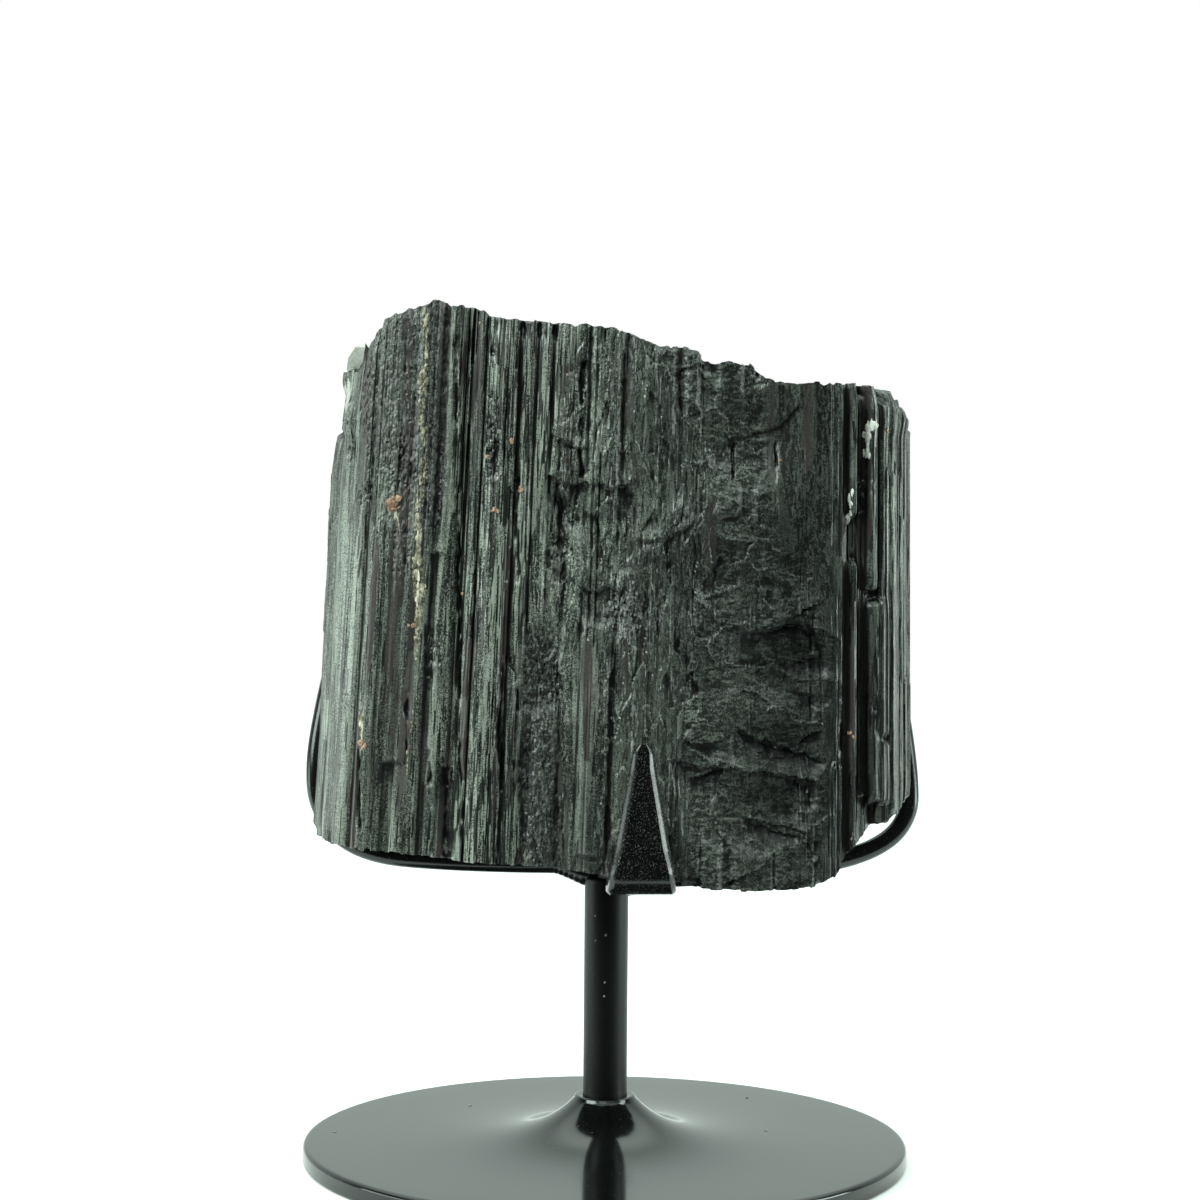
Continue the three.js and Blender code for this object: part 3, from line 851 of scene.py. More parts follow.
elsewhere = np.clip(cloud(around_grid, heights, 16, 30, 90) * 3 - 0.6, 0, 1) * (1 - is_front)
sheet_face = inside(SHEET_LEFT, SHEET_RIGHT, 0.8) * np.clip((SHEET_TOP - heights) / 2, 0, 1)
splinter = np.maximum(inside(SPLINTER_LEFT, SHELL_LEFT, 2.0), elsewhere) * (1 - sheet_face)
shell = inside(SHELL_LEFT, SHELL_RIGHT, 2.0)
pitted = inside(PITTED_LEFT, PITTED_RIGHT, 3.0) * np.clip((heights - PITTED_FOOT) / 8, 0, 1)
grainy = inside(GRAINY_LEFT, GRAINY_RIGHT, 1.2) * np.clip((GRAINY_TOP - heights) / 6, 0, 1)
whole = np.clip(1 - splinter - shell - 0.75 * pitted - grainy, 0, 1)
threaded = inside(THREADED_LEFT, SPLINTER_LEFT, 1.0) * whole
columned = np.maximum(inside(COLUMNS_LEFT, FAR_RIGHT, 1.0), 0.7 * (1 - is_front)) * whole
satin = np.clip(whole - threaded - columned, 0, 1)
kinds = {"satin": satin, "threaded": threaded, "columned": columned, "splintered": splinter,
         "shelled": shell, "pitted": pitted, "grainy": grainy}
print("shares of the skin:", {name: round(float(zone.mean()), 3) for name, zone in kinds.items()})

# %% Even out the solid's own columns
COLUMNS_KEPT = 0.25


def blur(values, across, along):
    """Evens out a grid over some steps each way."""
    for axis, reach in ((0, across), (1, along)):
        weights = np.exp(-0.5 * (np.arange(-3 * reach, 3 * reach + 1) / reach) ** 2)
        weights /= weights.sum()
        padded = np.apply_along_axis(lambda v: np.pad(v, 3 * reach, mode="edge"), axis, values)
        values = np.apply_along_axis(lambda v: np.convolve(v, weights, "valid"), axis, padded)
    return values


even = blur(depth, 14, 5)
keep = COLUMNS_KEPT + (1 - COLUMNS_KEPT) * np.clip(0.6 * shell + 0.4 * columned + 0.5 * (1 - is_front), 0, 1)
ground = even + keep * (blur(depth, 1, 1) - even)
print("columns evened out by", round(float(np.abs(ground - depth).mean()), 2), "mm on average")

# %% Carve each kind of surface
broad = ribs(0.6, 6.0, height=0.05, breaks=2.0, gap_share=0.12, gap_depth=0.35)
strands = ribs(0.2, 0.8, height=0.12, breaks=6.0, gap_share=0.28, gap_depth=0.4)
bundles = ribs(0.5, 3.2, height=0.18, breaks=5.0, gap_share=0.15, gap_depth=0.7)
columns = ribs(0.5, 3.4, height=0.32, breaks=2.5, gap_share=0.35, gap_depth=0.9)
slivers = ribs(0.34, 1.1, height=0.12, breaks=12.0, gap_share=0.20, gap_depth=0.4, ragged=0.6)
splinters = plates(2.6, 9.0, level=0.2, tilt=0.3, dish=0.0, seed=20, bend=0.15)
splinters += plates(1.0, 3.4, level=0.10, tilt=0.16, dish=0.0, seed=21, bend=0.2)
crumbs = plates(0.5, 0.65, level=0.07, tilt=0.12, dish=0.0, seed=22)
shells = plates(9.0, 6.5, level=0.22, tilt=0.5, dish=0.7, seed=23, bend=0.5)
shells += plates(3.0, 2.0, level=0.06, tilt=0.13, dish=0.06, seed=24, bend=0.5)
grit = cloud(around_grid, heights, 1.0, 1.3, 50)
carving = satin * (broad + 0.2 * strands)
carving += threaded * (bundles + strands)
carving += columned * (columns + 0.4 * strands)
carving += splinter * (splinters + 0.9 * slivers + 0.2 * crumbs)
carving += shell * (shells + 0.2 * crumbs + 0.3 * slivers)
carving += pitted * (0.9 * crumbs + 0.2 * grit - 1.0 * np.clip(grit - 0.35, 0, 1) + 0.7 * strands)
carving += grainy * (1.8 * crumbs + 0.3 * grit + 0.5 * slivers - 0.25)
print("carved by", round(float(carving.min()), 2), "to", round(float(carving.max()), 2), "mm")

# %% Lines of the cracks and ledges on the front
# A groove is (half width, depth, its line), a ledge is (step, its line), and a point is (x, height).
GROOVES = [
    (0.35, 0.8, [(-27, 153), (-27, 132), (-26.5, 104), (-26, 81), (-25.5, 57)]),
    (0.7, 0.8, [(-20, 151), (-20.5, 146)]), (0.8, 0.9, [(-21, 138), (-20, 130), (-20.5, 125)]),
    (0.4, 0.8, [(-16, 124), (-16, 106)]), (0.5, 1.0, [(-31.2, 77), (-31.2, 57)]),
    (0.6, 1.1, [(-28.8, 74), (-28.8, 57)]), (0.3, 0.6, [(-43.5, 76), (-43.5, 61)]),
    (0.4, 0.8, [(-35.5, 86), (-35.5, 75)]), (0.5, 0.8, [(-17, 92), (-16, 84)]),
    (0.6, 0.9, [(-18.6, 92), (-19.2, 57)]), (0.5, 0.9, [(-16.5, 75), (-16.5, 57)]),
    (0.5, 0.9, [(-5, 144), (-5, 124)]), (0.5, 0.9, [(-9, 123), (-8.5, 113)]),
    (0.3, 0.7, [(21.5, 130), (21.5, 124)]), (0.3, 0.7, [(29.5, 132), (29, 119)]),
    (0.5, 0.8, [(41.5, 86), (41.5, 77)]), (0.5, 0.8, [(46.5, 86), (47.5, 80), (49.5, 79)]),
]
LEDGES = [
    (0.7, [(-9.5, 131.5), (-7.5, 131), (-5, 129.5)]), (0.8, [(-10.5, 125.5), (-7.5, 123), (4, 123)]),
    (0.6, [(5, 113), (9.5, 113), (14.5, 116.5)]), (0.5, [(-7, 107.5), (-2.5, 105), (1.5, 104.5)]),
    (0.5, [(18.5, 129.5), (22.5, 131.5), (28, 133.5), (33.5, 137.5)]), (0.5, [(16, 107.5), (19.5, 110.5)]),
    (1.0, [(22.5, 97.5), (27.5, 99), (35, 98.5), (38.5, 95.5)]), (0.6, [(30, 93), (33.5, 92.5), (37.5, 93)]),
    (0.8, [(23, 81), (26.5, 79), (33.5, 77), (37.5, 75)]),
    (0.7, [(11, 75.5), (16, 74), (21.5, 74.5), (36.5, 71.5)]),
    (0.6, [(27, 63.5), (34, 62)]), (0.5, [(33.5, 87.5), (38, 86)]), (0.6, [(46, 68), (49.5, 68)]),
    (0.5, [(-31, 110.5), (-28, 111)]), (0.6, [(-38, 75), (-35.5, 75)]),
]

shaky_x = front_at + 0.6 * cloud(front_at, heights, 2.0, 3.0, 71, 4)
shaky_z = heights + 1.5 * cloud(front_at, heights, 3.5, 3.5, 74, 4)


def off_line(points):
    """How far each point of the front is from a line."""
    best = np.full(heights.shape, 1e6)
    for (x0, z0), (x1, z1) in zip(points, points[1:]):
        x, z, dx, dz = shaky_x - x0, shaky_z - z0, x1 - x0, z1 - z0
        part = np.clip((x * dx + z * dz) / (dx * dx + dz * dz), 0, 1)
        best = np.minimum(best, np.hypot(x - part * dx, z - part * dz))
    return best


print(len(GROOVES), "grooves and", len(LEDGES), "ledges")

# %% Cut the cracks and ledges
LEDGE_CRACK = 0.3

cut = np.zeros_like(heights)
for half_width, deep, points in GROOVES:
    cut = np.maximum(cut, deep * np.exp(-(off_line(points) / half_width) ** 2))
for step, points in LEDGES:
    above = shaky_z - value_along(points, shaky_x)
    ends = np.clip(np.minimum(shaky_x - points[0][0], points[-1][0] - shaky_x) / 2 + 0.6, 0, 1)
    raised = 0.5 * np.exp(-np.clip(above, 0, None) / 3) * (above > 0)
    undercut = 0.9 * np.exp(np.clip(above, None, 0) / 6) * np.clip(-above / 0.5, 0, 1)
    carving += is_front * ends * step * (raised - undercut)
    cut = np.maximum(cut, 0.3 * step * np.exp(-(off_line(points) / LEDGE_CRACK) ** 2))
patchy = np.clip(0.5 + 1.5 * cloud(front_at, heights, 3.0, 4.0, 79), 0, 1)
carved = ground - carving + cut * patchy * is_front
print("cracks cut up to", round(float((cut * patchy * is_front).max()), 2), "mm deep")

# %% Rough spots
# Each is (x, height, half width, half height).
ROUGH_SPOTS = [(-31.5, 93, 2.6, 4.5), (-37, 127, 2.2, 5), (-20.5, 131, 1.2, 7), (-43, 121, 1.6, 2.6),
               (-47, 131, 1.2, 5), (-31, 118, 1.5, 2.5), (-8, 112, 2.5, 7), (3, 101, 3, 5),
               (45, 122, 1.2, 4)]

rough = np.zeros_like(heights)
ragged = 1.3 * cloud(front_at, heights, 1.6, 2.2, 78, 4)
for x, z, wide, tall in ROUGH_SPOTS:
    off = ((shaky_x - x) / wide) ** 2 + ((shaky_z - z) / tall) ** 2 + ragged
    rough = np.maximum(rough, np.clip(1.5 - off, 0, 1) * is_front)
carved += rough * (0.12 + 0.3 * np.clip(grit, -0.5, 0.6) - 1.4 * crumbs)
print(len(ROUGH_SPOTS), "rough spots on", round(float((rough > 0.5).mean()), 3), "of the skin")

# %% [markdown]
# ## Crystal: closing the ends
#
# The grid is an open sleeve. Its two ends are closed by surfaces that take their height from the solid
# and are as rough as the other breaks, since both ends are breaks across the grain. A triangulation
# that respects the sleeve's rim joins the two without a gap.

# %% Points of the sleeve
JAG_HEIGHT, JAG_START, JAG_SHARE = 0.45, 0.96, 0.04

jag = JAG_HEIGHT * cloud(around, around * 0 + 3, 1.1, 1, 61, 2) * (1 - 0.8 * at_back)
lift = np.clip((part_way - JAG_START) / JAG_SHARE, 0, 1)
heights_out = heights + lift * jag[:, None]
sleeve = np.stack([rim[:, :1] + lean[:, None] * (heights_out - GRAIN_HEIGHT) - outward[:, :1] * carved,
                   rim[:, 1:] - outward[:, 1:] * carved, heights_out], 2)
print("sleeve of", sleeve.shape[0], "columns and", sleeve.shape[1], "rows")

# %% Close the ends
ABOVE_ALL, BELOW_ALL = 190.0, 20.0
TOP_SPACING, FOOT_SPACING = 0.7, 1.2
CAP_RELIEF, CAP_TREAD, CAP_GRIT = 2.0, 0.4, 0.3
TOP_BELOW_EDGE, FOOT_ABOVE_EDGE = 0.3, 1.0
RIM_BLEND = 3.5


def in_outline(points, outline):
    """Which points are inside a closed outline."""
    found = np.zeros(len(points), bool)
    x, y = points[:, 0], points[:, 1]
    for (x0, y0), (x1, y1) in zip(outline, np.roll(outline, -1, axis=0)):
        crosses = (y0 > y) != (y1 > y)
        found ^= crosses & (x < x0 + (y - y0) * (x1 - x0) / (y1 - y0 + 1e-12))
    return found


def terraces(height, tread, edge=0.25):
    """Turns smooth heights into steps of one tread each, with short slopes between."""
    level = np.floor(height / tread)
    rest = height / tread - level
    return tread * (level + np.clip((rest - 0.5) / edge + 0.5, 0, 1))


def end_cap(ring, spacing, from_above):
    """Points inside a ring and the triangles that join them to it."""
    low, high = ring.min(0), ring.max(0)
    gx, gy = np.meshgrid(np.arange(low[0], high[0], spacing), np.arange(low[1], high[1], spacing))
    inner = np.stack([gx.ravel(), gy.ravel()], 1) + rng.uniform(-0.35, 0.35, (gx.size, 2)) * spacing
    shrunk = ring[:, :2] * (1 - 1.2 * spacing / np.abs(ring[:, :2]).max(0))
    inner = inner[in_outline(inner, shrunk)]
    start, way = (ABOVE_ALL, -1.0) if from_above else (BELOW_ALL, 1.0)
    flights = mend(np.array([shoot((x, y, start), (0, 0, way)) for x, y in inner]))
    relief = terraces(CAP_RELIEF * cloud(inner[:, 0], inner[:, 1], 6, 5, 81, 4), CAP_TREAD)
    relief += CAP_GRIT * cloud(inner[:, 0], inner[:, 1], 1.4, 1.4, 85, 2)
    z = start + way * flights + way * np.abs(relief)
    if from_above:
        z = np.minimum(z, value_along(TOP_EDGE, inner[:, 0]) - TOP_BELOW_EDGE)
    else:
        z = np.maximum(z, value_along(FOOT_EDGE, inner[:, 0]) + FOOT_ABOVE_EDGE)
    away = np.linalg.norm(inner[:, None] - ring[None, ::3, :2], axis=2)
    share = np.clip(away.min(1) / RIM_BLEND, 0, 1)
    z = share * z + (1 - share) * ring[::3, 2][away.argmin(1)]
    count = len(ring)
    flat = [Vector(p) for p in np.vstack([ring[:, :2], inner])]
    edges = [(k, (k + 1) % count) for k in range(count)]
    made = delaunay_2d_cdt(flat, edges, [], 1, 1e-6)
    print("cap of", len(inner), "points,", len(made[2]), "triangles, extra points", len(made[0]) - len(flat))
    return np.vstack([ring, np.column_stack([inner, z])]), [tuple(face) for face in made[2]]


top_points, top_faces = end_cap(sleeve[:, -1], TOP_SPACING, True)
foot_points, foot_faces = end_cap(sleeve[:, 0], FOOT_SPACING, False)
foot_faces = [face[::-1] for face in foot_faces]

# %% [markdown]
# ## Crystal finish
#
# Black tourmaline is nearly opaque. Its long faces have a grey-green satin sheen made of countless
# hair-thin lines, and its breaks glitter in small grains. Here that sheen is painted into the base
# colour: lines and grains are painted lighter where the faces would catch the light, and seams, cracks
# and hollows are painted black as the shade in them. Soft noise alone would look like felt. So most of
# the finish is random cells with sharp edges: cells many times longer than wide are the slivers, slabs
# and laths, and small ones are flakes, grains and dust. Each cell has its own shade of painted sheen
# and its own tilt of the surface, and some are black gaps of painted shade. The skin carries the
# numbers this needs at each point: the place across and along the grain, how much painted sheen there
# is, how broken, pitted, gappy, hollow and pale the stone is, and how far the back and sides are
# dulled, a painted shade that keeps them dark.

# %% Numbers from the skin
crystal_finish, sheet = new_finish("tourmaline")
across, along, painted_sheen, hollow = [sheet.measure(name) for name in ("across", "along", "painted_sheen", "hollow")]
broken_here, pitted_here, gappy_here = [sheet.measure(name) for name in ("broken", "pitted", "gappy")]
vein_here, pale_here = [sheet.measure(name) for name in ("vein", "pale")]
shelly, dulled_back_and_sides = [sheet.measure(name) for name in ("shelly", "dulled_back_and_sides")]


def on_grain(wide, tall):
    """Places on the skin, counted in cells of this width and height in millimetres."""
    return sheet.node("ShaderNodeCombineXYZ", sockets={0: across * (1 / wide), 1: along * (1 / tall)})


def random_cells(wide, tall, metric="CHEBYCHEV"):
    """Three random numbers for each of many cells with sharp edges."""
    settings = {"voronoi_dimensions": "2D", "distance": metric}
    sockets = {"Vector": on_grain(wide, tall), "Scale": 1.0}
    chance = sheet.node("ShaderNodeTexVoronoi", settings, sockets, output="Color")
    return [sheet.node("ShaderNodeSeparateColor", sockets={0: chance}, output=k) for k in (0, 1, 2)]


print("numbers from the skin:", len(sheet.tree.nodes))

# %% Lines and grains
sliver_shade, sliver_turn, sliver_gap = random_cells(0.25, 4.5)
slab_shade, slab_turn, slab_gap = random_cells(1.5, 24.0)
splint_shade, splint_turn, splint_gap = random_cells(0.34, 1.5)
scale_shade, scale_turn, scale_gap = random_cells(1.1, 0.42, "EUCLIDEAN")
grain_shade, grain_turn, _ = random_cells(0.28, 0.32, "EUCLIDEAN")
dust_shade, dust_turn, dust_lift = random_cells(0.15, 0.18, "EUCLIDEAN")
lath_shade, _, lath_gap = random_cells(1.3, 10.0)
hair = sheet.noise(on_grain(0.14, 1.6), detail=2.0)
bar = sheet.noise(on_grain(1.7, 30.0), detail=3.0)
mottle = sheet.noise(on_grain(0.25, 0.29), detail=3.0, roughness=0.75)
plate_edge = sheet.node("ShaderNodeTexVoronoi", {"voronoi_dimensions": "2D", "feature": "DISTANCE_TO_EDGE"},
                        {"Vector": on_grain(1.0, 2.8), "Scale": 1.0})
clump = sheet.noise(on_grain(0.9, 2.4), detail=4.0)
patch = sheet.noise(on_grain(5.0, 8.0), detail=4.0)
crack = sheet.noise(on_grain(3.0, 5.0), detail=4.0)
cross_crack = sheet.noise(on_grain(5.0, 0.8), detail=2.0)
streak = sheet.noise(on_grain(2.2, 60.0), detail=3.0)
print("nodes of the lines and grains:", len(sheet.tree.nodes))

# %% Painted sheen of the long faces
gap_share = 0.05 + 0.25 * gappy_here
# Open seams between the slivers and the fine cross cracks are painted black, as the shade inside them.
open_seam = (sliver_gap + 0.3 * (mottle - 0.5)).between(gap_share, gap_share + 0.05)
lines = 0.52 + (0.25 + 0.55 * gappy_here) * (sliver_shade - 0.5) + 0.7 * (slab_shade - 0.5)
lines = lines + 0.5 * (hair - 0.5) + 0.5 * (bar - 0.5) + 2.2 * (mottle - 0.5) + 0.8 * (dust_shade - 0.5)
lines = lines.between(0.05, 1.0) * (0.05 + 0.95 * open_seam) * (0.3 + 0.7 * mottle.between(0.33, 0.37))
lines = lines * (0.55 + 0.45 * abs(cross_crack - 0.5).between(0.0, 0.02))
print("nodes with the long faces:", len(sheet.tree.nodes))

# %% Painted sheen of the breaks
splintery = 1 - 0.7 * shelly
broken_here = broken_here * (1 - 0.8 * splintery * lath_gap.between(0.74, 0.75))
flake_shade = splint_shade * (1 - shelly) + scale_shade * shelly
flake_gap = splint_gap * (1 - shelly) + scale_gap * shelly
crumbly = 0.42 + 1.2 * (flake_shade - 0.5) + 1.2 * (grain_shade - 0.5) + 1.3 * (dust_shade - 0.5)
crumbly = crumbly + 2.8 * (mottle - 0.5) + 1.7 * (patch - 0.5) + 1.2 * (clump - 0.5)
crumbly = crumbly + 0.6 * splintery * (lath_shade - 0.5)
# The gaps between flakes and the cracks are painted dark, as the shade inside them.
crumbly = crumbly.between(0.0, 1.05) * (0.1 + 0.9 * (flake_gap + 0.3 * (mottle - 0.5)).between(0.14, 0.2))
crumbly = crumbly * (0.15 + 0.85 * abs(crack - 0.5).between(0.0, 0.016))
fine_crack = (plate_edge + 0.5 * (clump - 0.5) + 0.3 * (mottle - 0.5)).between(-0.02, 0.06)
crumbly = crumbly * (0.3 + 0.7 * fine_crack)
print("nodes with the breaks:", len(sheet.tree.nodes))

# %% Colour of the stone
STONE_BLACK, STONE_PAINTED_SHEEN = (0.003, 0.0036, 0.0034, 1), (0.32, 0.355, 0.305, 1)
BROWN_FACE, PIT_DUST = (0.050, 0.038, 0.038, 1), (0.085, 0.072, 0.072, 1)
HOLLOW_SHADE_BLACK, PALE_SPOT = (0.002, 0.002, 0.002, 1), (0.46, 0.47, 0.44, 1)
CRUST_DARK, CRUST_PALE = (0.11, 0.11, 0.07, 1), (0.48, 0.44, 0.32, 1)

# The base colour carries painted sheen. It is lighter where the faces would catch the light and near black
# elsewhere.
light = painted_sheen * (lines * (1 - broken_here) + crumbly * broken_here)
colour = sheet.blend(light, STONE_BLACK, STONE_PAINTED_SHEEN)
brown = 0.6 * streak.between(0.56, 0.66) + 0.8 * (1 - slab_gap.between(0.10, 0.11))
brown = brown * (1 - broken_here) * (1 - dulled_back_and_sides)
colour = sheet.blend(brown, colour, BROWN_FACE)
dusty = pitted_here * mottle.between(0.40, 0.65) * patch.between(0.35, 0.6)
colour = sheet.blend(dusty * 0.8, colour, PIT_DUST)
# Hollows are painted black, as the shade that would fall in them.
colour = sheet.blend(hollow.between(0.25, 0.8) * 0.94, colour, HOLLOW_SHADE_BLACK)
crust = (vein_here * clump.between(0.38, 0.56) + 1.4 * (mottle - 0.5)).between(0.28, 0.42)
crust_colour = sheet.blend((grain_shade + patch - 0.5).between(0.3, 0.9), CRUST_DARK, CRUST_PALE)
colour = sheet.blend(crust * 0.9, colour, crust_colour)
colour = sheet.blend(pale_here * 0.9, colour, PALE_SPOT)
print("nodes with the colour:", len(sheet.tree.nodes))

# %% Tilt of lines and grains
LINE_TILT, GRAIN_TILT = 0.5, 0.55
FINE_RELIEF = 0.10

facing_way = sheet.node("ShaderNodeNewGeometry", output="Normal")
sideways = sheet.node("ShaderNodeVectorMath", {"operation": "CROSS_PRODUCT"}, {0: (0, 0, 1), 1: facing_way})
line_side = LINE_TILT * ((0.2 + 0.5 * gappy_here) * (sliver_turn - 0.5) + 0.6 * (slab_turn - 0.5))
line_side = line_side * (1 - broken_here)
flake_turn = splint_turn * (1 - shelly) + scale_turn * shelly
grain_side = GRAIN_TILT * (0.7 * flake_turn + 0.5 * grain_shade + 0.4 * dust_turn - 0.8)
grain_up = GRAIN_TILT * (0.5 * flake_shade + 0.5 * grain_turn + 0.4 * dust_lift - 0.7)
loose = 0.1 + broken_here * (0.25 + 1.1 * painted_sheen) + 0.7 * pitted_here
lifted = sheet.node("ShaderNodeCombineXYZ", sockets={2: grain_up * loose})
turned_way = sheet.node("ShaderNodeVectorMath", {"operation": "MULTIPLY_ADD"},
                        {0: sideways, 1: line_side + grain_side * loose, 2: facing_way})
turned_way = sheet.node("ShaderNodeVectorMath", {"operation": "ADD"}, {0: turned_way, 1: lifted})
turned_way = sheet.node("ShaderNodeVectorMath", {"operation": "NORMALIZE"}, {0: turned_way})
fine_height = 0.5 * hair * (1 - broken_here) + 0.5 * mottle * (0.2 + loose)
fine = sheet.bump(fine_height, 0.6, FINE_RELIEF * MM, turned_way)
print("nodes with the tilt:", len(sheet.tree.nodes))

# %% Bright faces and dull breaks
GLOSSY_IOR, DULL_IOR = 1.64, 1.22

roughness = 0.20 + 0.14 * hair + 0.12 * mottle + 0.14 * pitted_here + 0.1 * broken_here * (1 - painted_sheen)
faces_and_breaks = []
for ior in (GLOSSY_IOR, DULL_IOR):
    sockets = {"Base Color": colour, "Roughness": roughness, "IOR": ior, "Normal": fine}
    faces_and_breaks.append(sheet.node("ShaderNodeBsdfPrincipled", sockets=sockets))
# The back and sides take the dull shader as painted shade, which keeps them dark in front of the bright
# backdrop.
dull = broken_here * (1 - painted_sheen).between(0.45, 0.95) + dulled_back_and_sides
surface = sheet.node("ShaderNodeMixShader", sockets={0: dull, 1: faces_and_breaks[0], 2: faces_and_breaks[1]})
sheet.node("ShaderNodeOutputMaterial", sockets={"Surface": surface})
print("nodes of the whole finish:", len(sheet.tree.nodes))

# %% [markdown]
# ## Crystal: what the skin tells its finish
#
# The stone isn't equally bright: the threads on the left catch the light, the shells on the right stay
# dark, and single patches differ again. All this is painted into the colour as sheen and shade, with
# painted shadow beside the hook and a duller, darker back. A pale vein runs down the upper left, and
# what lies in a gap is painted black as its shade. Masks could be painted by hand, but they would have
# to be painted again after each change of shape. So the grid that was carved also carries these as
# numbers, one of each kind at every point.

# %% Painted sheen over the skin
# Painted sheen is (x, value), and a patch of painted sheen or shadow is (x, height, half width, half height,
# gain).
PAINTED_SHEEN_ACROSS = [(-52, 0.95), (-37, 0.9), (-33, 0.85), (-28, 1.3), (-12, 1.3), (0, 0.66), (10, 0.42),
                (20, 0.36), (34, 0.26), (40, 0.28), (42, 0.5), (52, 0.6)]
SHEEN_AND_SHADOW_PATCHES = [(-28, 132, 2.6, 24, -0.4), (-28, 91, 2.8, 4, -0.5), (-29.6, 67, 1.9, 10, -0.85),
                (-20.5, 86, 3, 30, 0.3), (-16, 75, 2, 20, -0.3), (33, 95, 8, 12, -0.5), (30, 72, 9, 11, -0.6),
                (38, 80, 4, 25, -0.35), (3.3, 117, 5, 4, 0.6), (-2.5, 134, 3, 6, 0.5), (17, 82, 4, 5, 0.4),
                (9, 134, 4, 6, -0.45), (-9.5, 121, 3, 4, -0.45), (8, 110, 3, 2.5, -0.35),
                (-36, 136, 7, 18, -0.45), (-42, 68, 8, 12, -0.25), (46, 75, 6, 14, -0.68),
                (-45, 125, 5, 15, -0.25), (-21, 68, 5, 16, -0.2), (-4.5, 78, 3.5, 16, -0.35),
                (47, 96, 6, 12, -0.55), (-19, 106, 6, 10, 0.3), (-3.5, 64, 3, 9, -0.6),
                (11.5, 60, 2.5, 7, -0.6)]

# The patches lighten or darken the painted sheen. The last two, beside the hook, are painted shadow.
front_painted_sheen = value_along(PAINTED_SHEEN_ACROSS, front_at)
for x, z, wide, tall, gain in SHEEN_AND_SHADOW_PATCHES:
    near = np.exp(-((shaky_x - x) / wide) ** 2 - ((shaky_z - z) / tall) ** 2)
    front_painted_sheen = front_painted_sheen * (1 + gain * near)
# On the sides and the back the painted sheen is lower. This painted shade keeps the back dark in front of the
# bright backdrop.
side_painted_sheen = 0.36 - 0.22 * at_back[:, None] + 0.15 * cloud(around_grid, heights, 14, 22, 95)
painted_sheen_grid = front_painted_sheen * is_front + side_painted_sheen * (1 - is_front)
painted_sheen_grid *= 1 + 0.35 * cloud(around_grid, heights, 9, 16, 97) - 0.6 * grainy
print("sheen from", round(float(painted_sheen_grid.min()), 2), "to", round(float(painted_sheen_grid.max()), 2))

# %% The vein, the painted shade of hollows and the pale spot
# The vein is (x, height), and its widths are (height, half width). The pale spot is on the left side.
VEIN = [(-32.5, 153), (-32, 146), (-33, 137.5), (-32.5, 129), (-33.5, 116.5), (-33.5, 109.5), (-33, 102.5),
        (-33.5, 95.5), (-34, 85), (-35.5, 73)]
VEIN_WIDTHS = [(73, 0.1), (90, 0.12), (94, 0.2), (97, 0.5), (101, 0.7), (105, 1.0), (109, 1.1), (112, 0.5),
               (116, 0.4), (120, 0.8), (123, 0.3), (126, 0.8), (129, 0.2), (133, 0.6), (137, 0.3), (141, 0.8),
               (145, 0.4), (149, 0.25), (152.5, 0.8), (154, 0.4)]
PALE_PLACE, PALE_HALF, PALE_LEFT_OF = (-10, 138.5), (1.6, 3.2), -44

# Painted shade: steps lower than their neighbours, deeper places and rough spots are darkened.
hollow_shade_grid = np.clip((carved - blur(carved, 4, 4)) / 0.4, 0, 1) + 0.4 * np.clip((carved - even) / 1.5, 0, 1)
hollow_shade_grid += 0.3 * rough
off_pale = ((sleeve[..., 1] - PALE_PLACE[0]) / PALE_HALF[0]) ** 2
off_pale += ((heights - PALE_PLACE[1]) / PALE_HALF[1]) ** 2
pale_spot = np.clip(3 * (1 - off_pale + 1.2 * cloud(around_grid, heights, 1.2, 1.6, 99)), 0, 1)
vein_near = np.exp(-(off_line(VEIN) / value_along(VEIN_WIDTHS, heights)) ** 2)
print("vein on", round(float((vein_near > 0.5).mean()), 4), "of the skin")

# %% What the skin carries for its finish
uneven = 0.65 + 0.4 * cloud(around_grid, heights, 4, 9, 98)
dark_face = inside(SHELL_RIGHT, COLUMNS_LEFT, 1.5) * satin
carried_numbers = {
    "across": around_grid,
    "along": heights,
    "broken": np.clip(uneven * splinter + 0.9 * shell + grainy + 0.85 * dark_face, 0, 1),
    "pitted": np.clip(pitted + 0.5 * grainy + 0.4 * rough, 0, 1),
    "gappy": np.clip(threaded + columned + 0.2 * satin, 0, 1),
    "hollow": hollow_shade_grid,
    "painted_sheen": painted_sheen_grid,
    "vein": vein_near * is_front,
    "shelly": shell,
    # Painted shade: the back and sides are dulled, and they carry no brown streaks.
    "dulled_back_and_sides": 0.75 * np.maximum(at_back[:, None], 0.8 * (1 - is_front)) + 0 * heights,
    "pale": pale_spot * (sleeve[..., 0] < PALE_LEFT_OF),
}
print("numbers at each of", heights.size, "points:", ", ".join(carried_numbers))

# %% [markdown]
# ## Crystal: its meshes
#
# The real crystal is one piece. A single mesh of all its small faces would be too heavy to handle, so the
# sleeve is parted into a left front, a right front and a back, and the rough top and foot are meshes of
# their own. The parts keep the same points along a cut, so that no gap opens there.

# %% Make the crystal
MESH_FRONT_FACING = -0.4


def carry(made, numbers):
    """Stores numbers at each point of a skin for its finish."""
    for name, values in numbers.items():
        kept = np.broadcast_to(values, len(made.data.vertices)).astype(np.float32)
        made.data.attributes.new(name, "FLOAT", "POINT").data.foreach_set("value", kept)


def skin_piece(name, points, faces, numbers):
    """One part of the skin, small enough to be kept as one mesh."""
    made = add_object(name, points, faces, crystal_finish)
    shade_smooth(made, 18)
    carry(made, numbers)
    stands_for(made, "crystal")


